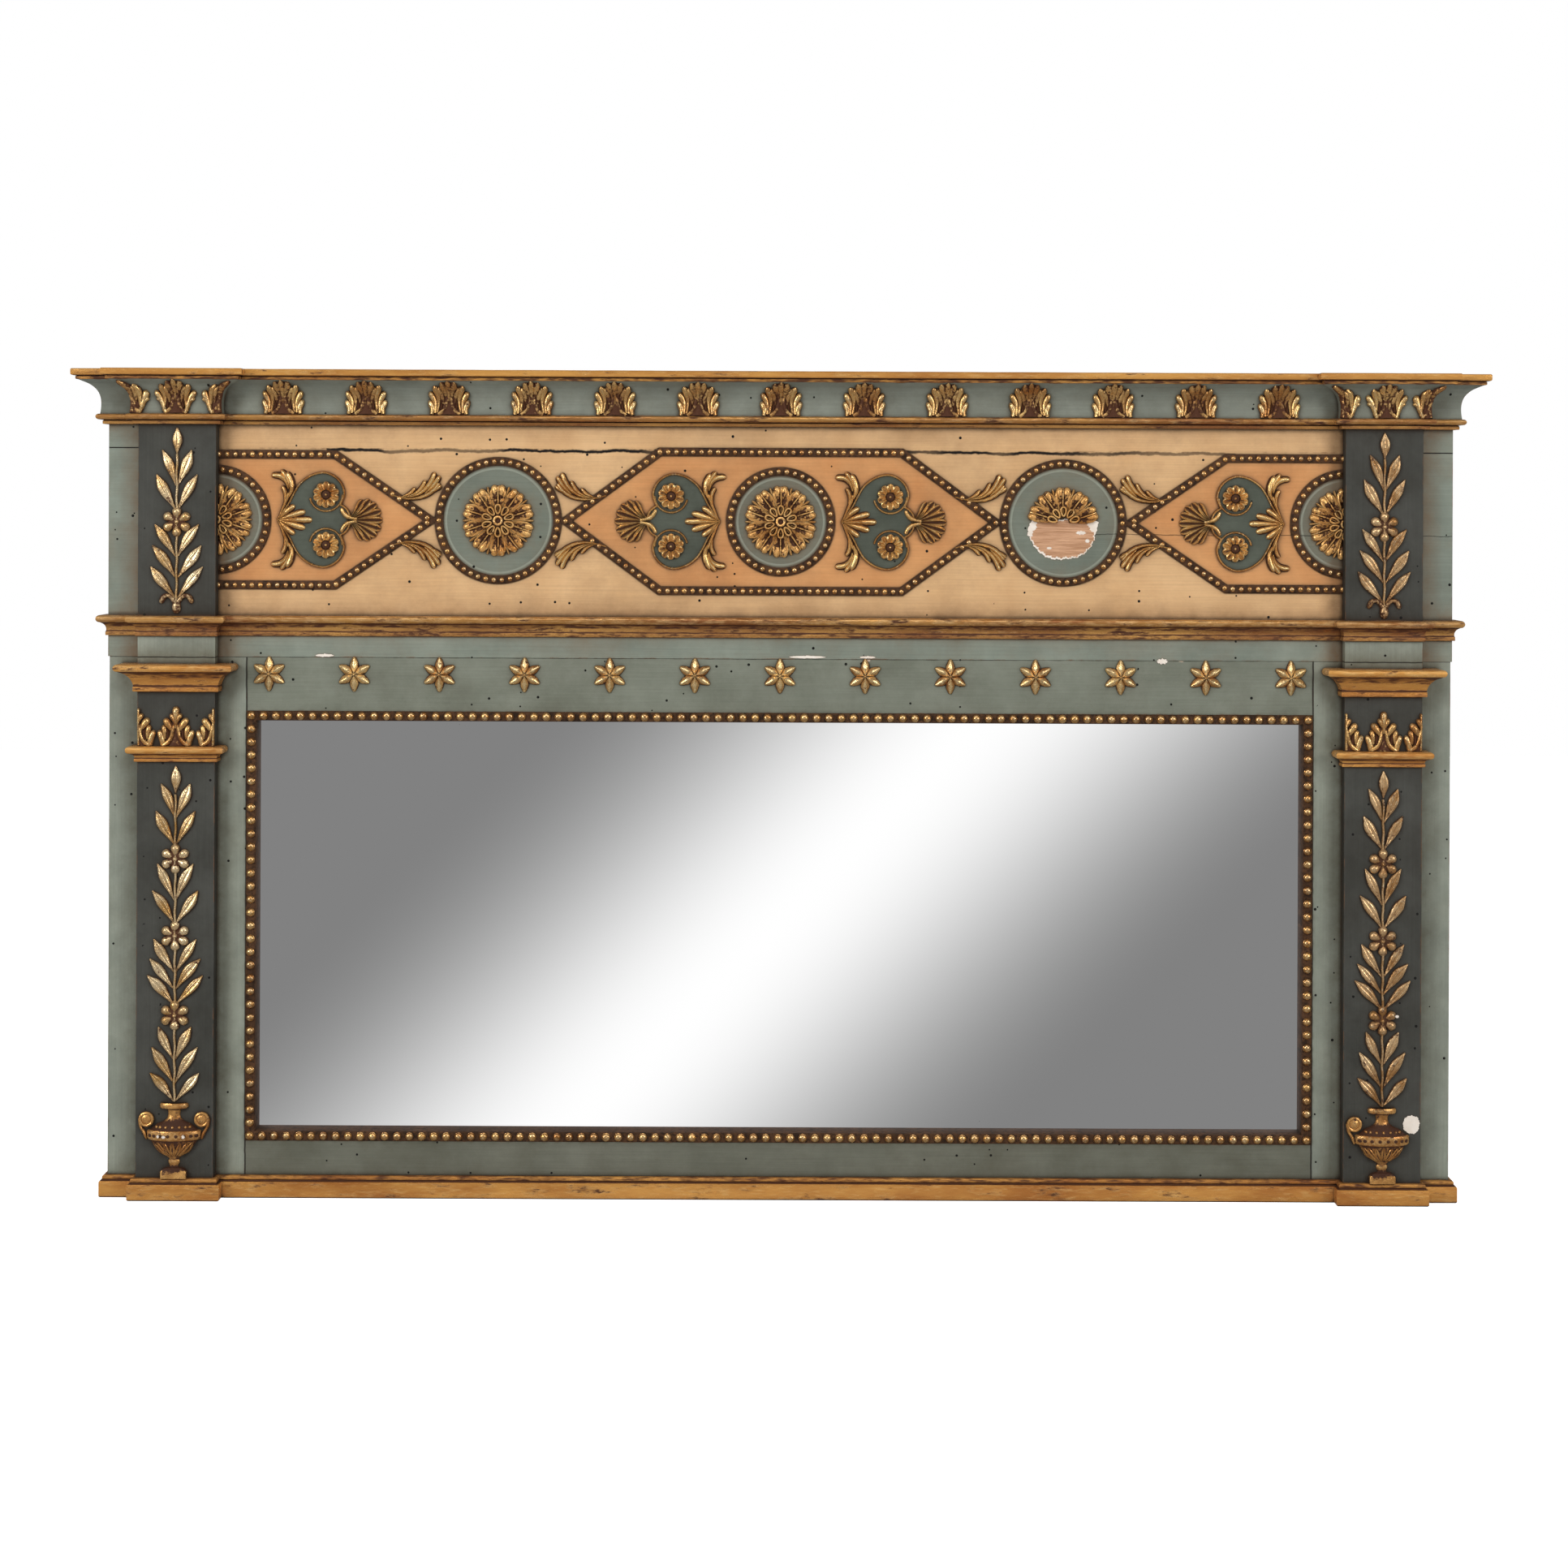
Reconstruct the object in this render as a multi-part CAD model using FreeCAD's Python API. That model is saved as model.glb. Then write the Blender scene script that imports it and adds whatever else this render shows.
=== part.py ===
import FreeCAD, Part
import math
import os

# A neoclassical overmantel mirror: painted boards, applied pilasters, break-front
# mouldings, gilt ornament, a mirror plate and the hangers on its back.
# X runs to the right, Z up, and the carved front faces -Y. The origin is the middle
# of the base, on the shelf that the mirror stands on.

# Painted boards
opening_half_width = 657.0
opening_height = 529.5
bottom_rail_height = 69.0
star_rail_height = 66.5
stile_margin = 38.5
frieze_overhang = 2.0
frieze_board_height = 257.0
board_thickness = 28.0
tenon_length = 60.0
tenon_thickness = 9.0
tenon_shoulder = 12.0
joint_clearance = 0.2

# Pilasters, and the clear height of the frieze between the waist and bed mouldings
pilaster_inset = 35.5
pilaster_width = 95.0
pilaster_thickness = 18.0
capital_drop = 8.0
capital_block_height = 101.0
entablature_height = 59.0
frieze_height = 235.0

# Base moulding and plinths
base_height = 27.0
base_fascia_height = 20.0
base_projection = 9.0
base_bead_projection = 5.5
base_bead_slope = 3.0

# Necking, capital and waist mouldings: a fillet, a hollow and a roll
necking_height = 19.0
necking_fillet_height = 4.0
necking_fillet_projection = 3.5
necking_roll = 9.0
necking_projection = 12.5
necking_hollow = 1.2
capital_mould_height = 34.0
capital_fillet_height = 6.0
capital_fillet_projection = 5.0
capital_roll = 9.0
capital_projection = 25.0
capital_hollow = 3.5
waist_height = 25.0
waist_fillet_height = 5.0
waist_fillet_projection = 3.0
waist_roll = 9.0
waist_projection = 13.0
waist_hollow = 2.0

# Cornice: bed moulding, cove and crown
bed_height = 12.5
bed_fillet_height = 5.0
bed_fillet_projection = 6.5
bed_projection = 14.0
cove_height = 41.5
cove_foot = 9.0
cove_lip = 31.5
cove_hollow = 8.0
crown_height = 13.0
crown_fillet_height = 5.5
crown_fillet_projection = 33.5
crown_projection = 38.5

# Carved bead strips round the mirror plate
bead_strip_width = 12.0
bead_strip_depth = 18.0
bead_strip_proud = 2.0
bead_radius = 4.5
bead_height = 3.6
bead_sides = 6
bead_crown_share = 0.45
beads_across = 86
beads_up = 32

# Mirror plate and what holds it
glass_thickness = 4.0
glass_clearance = 1.0
block_length = 45.0
block_width = 11.0
blocks_across = 4
blocks_up = 2
backboard_thickness = 8.0
backboard_lap = 22.0
backboard_count = 4
backboard_gap = 0.5

# Back battens and screws
batten_thickness = 18.0
batten_width = 60.0
batten_top_inset = 18.0
batten_screws = 5
screw_radius = 2.0
screw_head_radius = 4.0
screw_head_depth = 1.8
screw_length = 22.0
long_screw_length = 36.0
screw_clearance = 0.2
screw_edge = 11.0

# Strap hangers with swinging rings
hanger_inset = 180.0
hanger_gap = 115.5
strap_width = 20.0
strap_length = 64.0
strap_thickness = 2.0
strap_screw_pitch = 14.0
strap_screw_count = 3
strap_end_margin = 9.0
ring_wire_radius = 2.5
ring_bar_overhang = 3.0
ring_corner_radius = 5.0
ring_leg = 10.0
barrel_clearance = 0.3

# Stars on the rail over the plate
star_count = 13
star_end = 27.6
star_drop = 21.0
star_reach = 21.5
star_waist = 8.0
star_arms = 6
star_rim = 1.5
star_crest = 6.0

# Acanthus leaves on the cove and on the capitals
cove_leaf_count = 13
cove_leaf_end = 80.5
cove_leaf_width = 52.0
cove_leaf_height = 40.0
cove_leaf_lift = 0.6
cove_leaf_relief = 5.0
cove_leaf_clearance = 0.2
capital_leaf_gap = 3.5
capital_leaf_height = 50.0
capital_leaf_relief = 6.0
acanthus_lobes = 7
acanthus_base_share = 0.4
acanthus_first_angle = 12.0
scallop_notch = 0.88
scallop_rise = 0.38

# Laurel branches: leaf pairs as (tip height, base height, spread of the tip) over the foot of a
# drawing, which is stretched to its shaft, and the outline of a leaf as (share of its length,
# share of its width)
laurel_leaf_width = 12.0
laurel_outline = ((0.3, 0.65), (0.58, 1.0), (0.84, 0.62))
laurel_rim = 1.5
laurel_crest = 5.0
laurel_stem_width = 3.0
laurel_stem_relief = 2.5
laurel_flower_radius = 14.0
laurel_flower_petals = 6
upper_drawing_height = 235.0
upper_top_leaf = (230.5, 198.0)
upper_pairs = ((203.0, 162.0, 18.0), (173.0, 132.0, 25.0), (112.0, 75.0, 27.0),
               (86.0, 49.0, 30.0), (60.0, 24.0, 32.0))
upper_flowers = (115.0,)
upper_stem_foot = 6.0
lower_drawing_height = 418.0
lower_top_leaf = (413.0, 379.5)
lower_pairs = ((391.0, 352.5, 18.0), (357.5, 319.0, 24.0), (293.0, 251.0, 22.0),
               (260.0, 222.5, 28.0), (200.5, 163.0, 26.0), (176.5, 142.0, 31.0),
               (156.0, 123.0, 34.0), (93.0, 55.5, 20.0), (68.0, 27.5, 28.0),
               (36.5, 5.0, 30.0))
lower_flowers = (299.0, 204.5, 107.0)
lower_stem_foot = 0.0

# Urns at the foot of the lower branches
urn_foot_radius = 15.5
urn_foot_height = 11.0
urn_stem_radius = 5.0
urn_stem_height = 11.0
urn_bowl_height = 23.0
urn_band_radius = 33.0
urn_band_height = 14.0
urn_shoulder_height = 11.0
urn_neck_radius = 7.5
urn_neck_height = 13.0
urn_lip_radius = 17.0
urn_lip_height = 9.0
urn_relief_share = 0.4
urn_handle_radius = 9.7
urn_handle_band = 4.0
urn_handle_relief = 4.0

# Frieze ornament, on a drawing of the board between the pilasters, which is enlarged or
# reduced to that board; hearts and sprigs are drawn from their medallions as points and
# (middle, end) arcs
frieze_drawing_half_length = 692.5
frieze_line_shift = 0.5
medallion_centre = 348.0
half_medallion_centre = 695.0
large_ring_radius = 73.0
small_ring_radius = 62.0
border_width = 11.5
border_relief = 2.0
border_rod_width = 6.0
border_rod_relief = 3.0
rosette_radius = 43.5
rosette_lobes = 16
rosette_relief = 4.0
rosette_flower_share = 0.5
rosette_flower_lobes = 8
rosette_flower_relief = 3.0
rosette_button_share = 0.16
rosette_button_relief = 2.0
centre_panel_tip = 265.0
centre_panel_corner = 149.0
centre_panel_half_height = 85.5
end_panel_tip = 431.0
end_panel_corner = 549.0
end_panel_half_height = 80.5
heart_line = 135.0
heart_relief = 1.5
heart_rim_width = 2.5
heart_rim_relief = 1.5
heart_rosette_offset = 30.0
heart_rosette_radius = 17.0
heart_rosette_lobes = 10
heart_rosette_relief = 3.0
palmette_lobes = 9
palmette_first_angle = 75.0
palmette_root = 31.0
palmette_length = 41.0
palmette_half_width = 26.0
palmette_relief = 4.0
spray_root = 57.0
spray_length = 40.0
spray_width = 38.0
spray_lobes = 5
spray_relief = 4.0
horn_relief = 3.5
heart_tip = 55.0
heart_half = (((47, 19), (34, 37.5)), ((6, 58), (-22.5, 32)), ((-21, 22), (-16, 15)), (-29, 0))
heart_horn = ((53, 8), ((38, 30), (64, 57)), ((47, 35), (58, 10)))
medallion_sprig = ((119, 37), ((98, 27), (82, 34)), ((79, 46), (80, 57)), ((93, 43), (119, 40)))

# Planes from the wall to the front, and places that follow from the sizes above
overall_depth = batten_thickness + board_thickness + pilaster_thickness + crown_projection
wall_y = overall_depth / 2
board_back = wall_y - batten_thickness
board_front = board_back - board_thickness
pilaster_front = board_front - pilaster_thickness
pilaster_inner = opening_half_width + pilaster_inset
pilaster_outer = pilaster_inner + pilaster_width
pilaster_centre = (pilaster_inner + pilaster_outer) / 2
stile_outer = pilaster_outer + stile_margin
frieze_outer = stile_outer + frieze_overhang
opening_bottom = bottom_rail_height
opening_top = opening_bottom + opening_height
lower_frame_height = opening_top + star_rail_height
frieze_joint = lower_frame_height + frieze_board_height
capital_top = lower_frame_height - capital_drop
capital_mould_bottom = capital_top - capital_mould_height
necking_top = capital_top - capital_block_height
necking_bottom = necking_top - necking_height
waist_top = capital_top + entablature_height
waist_bottom = waist_top - waist_height
bed_bottom = waist_top + frieze_height
frieze_line = (waist_top + bed_bottom) / 2 + frieze_line_shift
frieze_scale = pilaster_inner / frieze_drawing_half_length
cove_bottom = bed_bottom + bed_height
crown_bottom = cove_bottom + cove_height
overall_height = crown_bottom + crown_height

sides = (("left", -1), ("right", 1))
parts = {}


def slab(x0, x1, y0, y1, z0, z1):
    """A square-cut board between two corners."""
    return Part.makeBox(x1 - x0, y1 - y0, z1 - z0, FreeCAD.Vector(x0, y0, z0))


def bow(start, end, rise):
    """The middle of an arc that bulges to the left of the line from start to end."""
    dx = end[0] - start[0]
    dy = end[1] - start[1]
    length = math.hypot(dx, dy)
    return ((start[0] + end[0]) / 2 - dy / length * rise, (start[1] + end[1]) / 2 + dx / length * rise)


def trace(steps, place):
    """A flat face from points and (middle, end) arcs, with place giving each point's position."""
    here = start = place(*steps[0])
    edges = []
    for step in steps[1:]:
        if isinstance(step[0], tuple):
            end = place(*step[1])
            edges.append(Part.Arc(here, place(*step[0]), end).toShape())
        else:
            end = place(*step)
            edges.append(Part.makeLine(here, end))
        here = end
    if not here.isEqual(start, 1e-6):
        edges.append(Part.makeLine(here, start))
    return Part.Face(Part.Wire(edges))


def relief(steps, place, height):
    """An applied plate of the given outline, standing out from the face that it is glued to."""
    return trace(steps, place).extrude(FreeCAD.Vector(0, -height, 0))


def seat(x, z, y, turn=1, scale=1):
    """Places outline points about (x, z) on the plane y; turn -1 mirrors them left to right."""
    return lambda u, v: FreeCAD.Vector(x + turn * u * scale, y, z + v * scale)


def fuse_all(solids):
    """One carved piece from solids that run into each other."""
    return solids[0].multiFuse(solids[1:]).removeSplitter()


def polar(half_width, height, angle):
    """A point on an ellipse, at an angle in degrees."""
    return (half_width * math.cos(math.radians(angle)), height * math.sin(math.radians(angle)))


def scallops(count, first, last, half_width, height):
    """Rounded lobes that spring from points on an ellipse, between two angles."""
    dips = [polar(half_width * scallop_notch, height * scallop_notch, first + (last - first) * i / count)
            for i in range(count + 1)]
    outline = dips[:1]
    for start, end in zip(dips, dips[1:]):
        rise = scallop_rise * math.dist(start, end)
        outline.append((bow(start, end, -rise), end))
    return outline


# Mouldings
def outward(a, b):
    """The side of a run that faces away from the boards."""
    length = math.hypot(b[0] - a[0], b[1] - a[1])
    return ((b[1] - a[1]) / length, (a[0] - b[0]) / length)


def mitred_run(profile, reach, height, base, a, b, mitre_a, mitre_b):
    """One length of moulding from a to b, cut at both ends along its mitres."""
    out = outward(a, b)
    along = FreeCAD.Vector(-out[1], out[0], 0)
    first = FreeCAD.Vector(a[0], a[1], base) - along * reach
    length = math.hypot(b[0] - a[0], b[1] - a[1]) + 2 * reach
    bar = trace(profile, lambda p, h: first + FreeCAD.Vector(out[0] * p, out[1] * p, h)).extrude(along * length)
    plan = [a, (a[0] + mitre_a[0] * reach, a[1] + mitre_a[1] * reach),
            (b[0] + mitre_b[0] * reach, b[1] + mitre_b[1] * reach), b]
    saw_cut = trace(plan, lambda x, y: FreeCAD.Vector(x, y, base)).extrude(FreeCAD.Vector(0, 0, height))
    return bar.common(saw_cut).Solids[0]


def moulding(profile, reach, height, base, path):
    """A list of mitred lengths that follow a path seen from above; its two ends are cut square."""
    normals = [outward(a, b) for a, b in zip(path, path[1:])]
    corners = [(m[0] + n[0], m[1] + n[1]) for m, n in zip(normals, normals[1:])]
    mitres = [normals[0]] + corners + [normals[-1]]
    return [mitred_run(profile, reach, height, base, path[i], path[i + 1], mitres[i], mitres[i + 1])
            for i in range(len(normals))]


def break_front(half_width):
    """The line of a moulding that steps forward round both pilasters and returns at the ends."""
    left = [(-half_width, board_back), (-half_width, board_front), (-pilaster_outer, board_front),
            (-pilaster_outer, pilaster_front), (-pilaster_inner, pilaster_front), (-pilaster_inner, board_front)]
    return left + [(-x, y) for x, y in reversed(left)]


def fillet_and_roll(height, fillet_height, fillet_projection, roll, projection, hollow):
    """A moulding section: a square fillet below, a hollow, and a roll on top."""
    foot = (fillet_projection, fillet_height)
    neck = (projection - roll / 2, height - roll)
    return [(0, 0), (fillet_projection, 0), foot, (bow(foot, neck, hollow), neck),
            ((projection, height - roll / 2), (neck[0], height)), (0, height)]


def add_break_front(name, profile, reach, height, base, half_width):
    """Adds the middle length and the two end groups of a break-front moulding."""
    lengths = moulding(profile, reach, height, base, break_front(half_width))
    middle = len(lengths) // 2
    parts["left_" + name] = Part.makeCompound(lengths[:middle])
    parts["centre_" + name] = lengths[middle]
    parts["right_" + name] = Part.makeCompound(lengths[middle + 1:])


base_shoulder = (base_bead_projection, base_height - base_bead_slope)
base_top = (base_bead_projection - base_bead_slope, base_height)
base_profile = [(0, 0), (base_projection, 0), (base_projection, base_fascia_height),
                (base_bead_projection, base_fascia_height), base_shoulder,
                (bow(base_shoulder, base_top, -base_bead_slope / 5), base_top), (0, base_height)]
add_break_front("base_mould", base_profile, base_projection, base_height, 0, stile_outer)

waist_profile = fillet_and_roll(waist_height, waist_fillet_height, waist_fillet_projection,
                                waist_roll, waist_projection, waist_hollow)
add_break_front("waist_mould", waist_profile, waist_projection, waist_height, waist_bottom, frieze_outer)

bed_roll = bed_height - bed_fillet_height
bed_neck = bed_projection - bed_roll / 2
bed_profile = [(0, 0), (bed_fillet_projection, 0), (bed_fillet_projection, bed_fillet_height),
               (bed_neck, bed_fillet_height), ((bed_projection, bed_height - bed_roll / 2), (bed_neck, bed_height)),
               (0, bed_height)]
add_break_front("bed_mould", bed_profile, bed_projection, bed_height, bed_bottom, frieze_outer)

cove_start = (cove_foot, 0)
cove_end = (cove_lip, cove_height)
cove_middle = bow(cove_start, cove_end, cove_hollow)
cove_profile = [(0, 0), cove_start, (cove_middle, cove_end), (0, cove_height)]
add_break_front("cove", cove_profile, cove_lip, cove_height, cove_bottom, frieze_outer)

crown_profile = [(0, 0), (crown_fillet_projection, 0), (crown_fillet_projection, crown_fillet_height),
                 (crown_projection, crown_fillet_height), (crown_projection, crown_height), (0, crown_height)]
add_break_front("crown", crown_profile, crown_projection, crown_height, crown_bottom, frieze_outer)

necking_profile = fillet_and_roll(necking_height, necking_fillet_height, necking_fillet_projection,
                                  necking_roll, necking_projection, necking_hollow)
capital_profile = fillet_and_roll(capital_mould_height, capital_fillet_height, capital_fillet_projection,
                                  capital_roll, capital_projection, capital_hollow)
for name, side in sides:
    edges = sorted((side * pilaster_inner, side * pilaster_outer))
    wrap = [(edges[0], board_front), (edges[0], pilaster_front), (edges[1], pilaster_front), (edges[1], board_front)]
    necking = moulding(necking_profile, necking_projection, necking_height, necking_bottom, wrap)
    parts[name + "_necking_mould"] = Part.makeCompound(necking)
    capital = moulding(capital_profile, capital_projection, capital_mould_height, capital_mould_bottom, wrap)
    parts[name + "_capital_mould"] = Part.makeCompound(capital)

    # The pilaster is a stack of blocks, each reaching up behind the moulding over it
    stack = (("pilaster", 0, necking_top), ("capital_block", necking_top, capital_top),
             ("entablature_block", capital_top, waist_top), ("upper_pilaster", waist_top, overall_height))
    for block, bottom, top in stack:
        parts[name + "_" + block] = slab(edges[0], edges[1], pilaster_front, board_front, bottom, top)


# Screws: countersunk, driven from the back, heads flush with the face that they hold
def turned_screw(x, z, face, length, extra):
    """A screw, or with extra its hole, with its head in the plane face and its point towards the front."""
    forward = FreeCAD.Vector(0, -1, 0)
    head = Part.makeCone(screw_head_radius + extra, screw_radius + extra, screw_head_depth,
                         FreeCAD.Vector(x, face, z), forward)
    shank = Part.makeCylinder(screw_radius + extra, length - screw_head_depth + extra,
                              FreeCAD.Vector(x, face - screw_head_depth, z), forward)
    return head.fuse(shank)


board_left = -opening_half_width - backboard_lap
board_low = opening_bottom - backboard_lap
board_high = opening_top + backboard_lap
backboard_width = (-2 * board_left - backboard_gap * (backboard_count - 1)) / backboard_count
backboard_edges = [board_left + i * (backboard_width + backboard_gap) for i in range(backboard_count)]
batten_top = overall_height - batten_top_inset
battens = {"left": (-pilaster_centre, 0), "centre": (0, board_high), "right": (pilaster_centre, 0)}
strap_bottom = board_high + hanger_gap
hanger_height = strap_bottom + strap_length
hanger_centre = pilaster_centre - hanger_inset

screw_places = []
for edge in backboard_edges:
    for x in (edge + screw_edge, edge + backboard_width - screw_edge):
        for z in (board_low + screw_edge, board_high - screw_edge):
            screw_places.append((x, z, board_back + backboard_thickness, screw_length))
for x, bottom in battens.values():
    pitch = (batten_top - bottom) / batten_screws
    for i in range(batten_screws):
        screw_places.append((x, bottom + (i + 0.5) * pitch, wall_y, long_screw_length))
for name, side in sides:
    for i in range(strap_screw_count):
        z = strap_bottom + strap_end_margin + i * strap_screw_pitch
        screw_places.append((side * hanger_centre, z, board_back + strap_thickness, screw_length))
parts["back_screws"] = Part.makeCompound([turned_screw(*place, 0) for place in screw_places])
screw_holes = Part.makeCompound([turned_screw(*place, screw_clearance) for place in screw_places])


def drilled(solid):
    """A piece with the holes of the screws that pass through it."""
    return solid.cut(screw_holes)


# Boards: two stiles with tenoned rails between them, and two frieze boards above
tenon_front = (board_front + board_back - tenon_thickness) / 2


def tenon(low, high, side, extra):
    """A rail's tenon, or with extra the mortise that it goes into."""
    ends = sorted((side * opening_half_width, side * (opening_half_width + tenon_length + extra)))
    return slab(ends[0], ends[1], tenon_front - extra, tenon_front + tenon_thickness + extra,
                low + tenon_shoulder - extra, high - tenon_shoulder + extra)


rails = {"bottom_rail": (0, opening_bottom), "star_rail": (opening_top, lower_frame_height)}
for name, (low, high) in rails.items():
    rail = slab(-opening_half_width, opening_half_width, board_front, board_back, low, high)
    parts[name] = drilled(rail.multiFuse([tenon(low, high, side, 0) for label, side in sides]))
for name, side in sides:
    ends = sorted((side * opening_half_width, side * stile_outer))
    stile = slab(ends[0], ends[1], board_front, board_back, 0, lower_frame_height)
    mortises = [tenon(low, high, side, joint_clearance) for low, high in rails.values()]
    parts[name + "_stile"] = drilled(stile.cut(mortises))
parts["frieze_board"] = drilled(slab(-frieze_outer, frieze_outer, board_front, board_back,
                                     lower_frame_height, frieze_joint))
parts["frieze_top_board"] = drilled(slab(-frieze_outer, frieze_outer, board_front, board_back,
                                         frieze_joint, overall_height))
for name, (x, bottom) in battens.items():
    parts[name + "_back_batten"] = drilled(slab(x - batten_width / 2, x + batten_width / 2,
                                                board_back, wall_y, bottom, batten_top))


# Bead strips, butted at the corners, with the beads carved in the solid
strip_front = board_front - bead_strip_proud
strip_back = strip_front + bead_strip_depth


def bead(x, z):
    """One bead: a faceted dome standing on the strip's face."""
    place = seat(x, z, strip_front)
    crown_radius = bead_radius * bead_crown_share
    around = [polar(1, 1, 360 * (i + 0.5) / bead_sides) for i in range(bead_sides)]
    foot = Part.makePolygon([place(bead_radius * u, bead_radius * v) for u, v in around + around[:1]])
    crown = Part.makePolygon([place(crown_radius * u, crown_radius * v) for u, v in around + around[:1]])
    crown.translate(FreeCAD.Vector(0, -bead_height, 0))
    return Part.makeLoft([foot, crown], True, True)


def bead_strip(x0, x1, z0, z1, places):
    """A strip with its beads."""
    strip = slab(x0, x1, strip_front, strip_back, z0, z1)
    return strip.multiFuse([bead(x, z) for x, z in places])


sight_half_width = opening_half_width - bead_strip_width
sight_bottom = opening_bottom + bead_strip_width
sight_top = opening_top - bead_strip_width
bead_x = opening_half_width - bead_strip_width / 2
bead_low = opening_bottom + bead_strip_width / 2
bead_high = opening_top - bead_strip_width / 2
row = [bead_x * (2 * i / beads_across - 1) for i in range(beads_across + 1)]
column = [bead_low + (bead_high - bead_low) * i / beads_up for i in range(1, beads_up)]
parts["bead_strip_top"] = bead_strip(-opening_half_width, opening_half_width, sight_top, opening_top,
                                     [(x, bead_high) for x in row])
parts["bead_strip_bottom"] = bead_strip(-opening_half_width, opening_half_width, opening_bottom, sight_bottom,
                                        [(x, bead_low) for x in row])
for name, side in sides:
    ends = sorted((side * sight_half_width, side * opening_half_width))
    parts["bead_strip_" + name] = bead_strip(ends[0], ends[1], sight_bottom, sight_top,
                                             [(side * bead_x, z) for z in column])

# Mirror plate behind the strips, glued blocks that keep it there, and the backboards
glass_back = strip_back + glass_thickness
parts["mirror_glass"] = slab(-opening_half_width + glass_clearance, opening_half_width - glass_clearance,
                             strip_back, glass_back, opening_bottom + glass_clearance, opening_top - glass_clearance)
glass_blocks = []
for i in range(blocks_across):
    x = 2 * opening_half_width * ((i + 0.5) / blocks_across - 0.5) - block_length / 2
    for z in (opening_bottom, opening_top - block_width):
        glass_blocks.append(slab(x, x + block_length, glass_back, board_back, z, z + block_width))
for i in range(blocks_up):
    z = opening_bottom + (opening_top - opening_bottom) * (i + 0.5) / blocks_up - block_length / 2
    for x in (-opening_half_width, opening_half_width - block_width):
        glass_blocks.append(slab(x, x + block_width, glass_back, board_back, z, z + block_length))
parts["glass_blocks"] = Part.makeCompound(glass_blocks)
backboards = [slab(edge, edge + backboard_width, board_back, board_back + backboard_thickness, board_low, board_high)
              for edge in backboard_edges]
parts["backboards"] = Part.makeCompound([drilled(board) for board in backboards])

# Strap hangers: the strap is bent round the straight bar of a D-shaped ring
barrel_bore = ring_wire_radius + barrel_clearance
barrel_radius = barrel_bore + strap_thickness
ring_axis = board_back + barrel_radius
ring_bar_half = strap_width / 2 + ring_bar_overhang
ring_bow = ring_bar_half + ring_corner_radius


def strap(x):
    """A flat strap with its eye, drilled for its screws."""
    eye = FreeCAD.Vector(x - strap_width / 2, ring_axis, hanger_height)
    plate = slab(x - strap_width / 2, x + strap_width / 2, board_back, board_back + strap_thickness,
                 strap_bottom, hanger_height)
    along = FreeCAD.Vector(1, 0, 0)
    barrel = Part.makeCylinder(barrel_radius, strap_width, eye, along)
    bore = Part.makeCylinder(barrel_bore, strap_width, eye, along)
    return drilled(plate.fuse(barrel).cut(bore).removeSplitter())


def ring(x):
    """A D-shaped ring of round wire, hanging from the strap's eye."""
    wire = ring_wire_radius
    shoulder = hanger_height - ring_corner_radius
    spring = shoulder - ring_leg
    back = FreeCAD.Vector(0, 1, 0)
    pieces = [Part.makeCylinder(wire, 2 * ring_bar_half, FreeCAD.Vector(x - ring_bar_half, ring_axis, hanger_height),
                                FreeCAD.Vector(1, 0, 0))]
    for side in (-1, 1):
        leg = FreeCAD.Vector(x + side * ring_bow, ring_axis, spring)
        pieces.append(Part.makeCylinder(wire, ring_leg, leg, FreeCAD.Vector(0, 0, 1)))
        corner = Part.makeCircle(wire, FreeCAD.Vector(x + side * ring_bar_half, ring_axis, hanger_height),
                                 FreeCAD.Vector(1, 0, 0))
        pivot = FreeCAD.Vector(x + side * ring_bar_half, ring_axis, shoulder)
        pieces.append(Part.Face(Part.Wire(corner)).revolve(pivot, back, side * 90))
    end = Part.makeCircle(wire, FreeCAD.Vector(x + ring_bow, ring_axis, spring), FreeCAD.Vector(0, 0, 1))
    pieces.append(Part.Face(Part.Wire(end)).revolve(FreeCAD.Vector(x, ring_axis, spring), back, 180))
    return fuse_all(pieces)


parts["hanger_straps"] = Part.makeCompound([strap(side * hanger_centre) for name, side in sides])
for name, side in sides:
    parts[name + "_hanging_ring"] = ring(side * hanger_centre)


# Stars: ridged points that rise to the middle
def star(x, z):
    """A star with a ridge along each arm."""
    place = seat(x, z, board_front)
    radii = [star_reach if i % 2 == 0 else star_waist for i in range(2 * star_arms)]
    points = [polar(radius, radius, 90 + 180 * i / star_arms) for i, radius in enumerate(radii)]
    lift = FreeCAD.Vector(0, -star_rim, 0)
    foot = [place(*point) for point in points]
    rim = [point + lift for point in foot]
    peak = place(0, 0) - FreeCAD.Vector(0, star_crest, 0)
    faces = [Part.Face(Part.makePolygon(foot + foot[:1]))]
    for i in range(len(foot)):
        j = (i + 1) % len(foot)
        faces.append(Part.Face(Part.makePolygon([foot[i], foot[j], rim[j], rim[i], foot[i]])))
        faces.append(Part.Face(Part.makePolygon([rim[i], rim[j], peak, rim[i]])))
    return Part.Solid(Part.Shell(faces))


first_star = star_end - opening_half_width
star_pitch = -2 * first_star / (star_count - 1)
star_line = lower_frame_height - star_drop
parts["stars"] = Part.makeCompound([star(first_star + star_pitch * i, star_line) for i in range(star_count)])


# Acanthus leaves
def acanthus(width, height, lobes):
    """The lobed outline of a leaf that stands on its root."""
    root = width * acanthus_base_share
    edge = scallops(lobes, acanthus_first_angle, 180 - acanthus_first_angle, width / 2, height)
    return [(-root, 0), (root, 0)] + edge


cove_slope = math.hypot(cove_height, cove_lip - cove_foot)
cove_normal = (cove_height / cove_slope, (cove_foot - cove_lip) / cove_slope)


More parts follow.
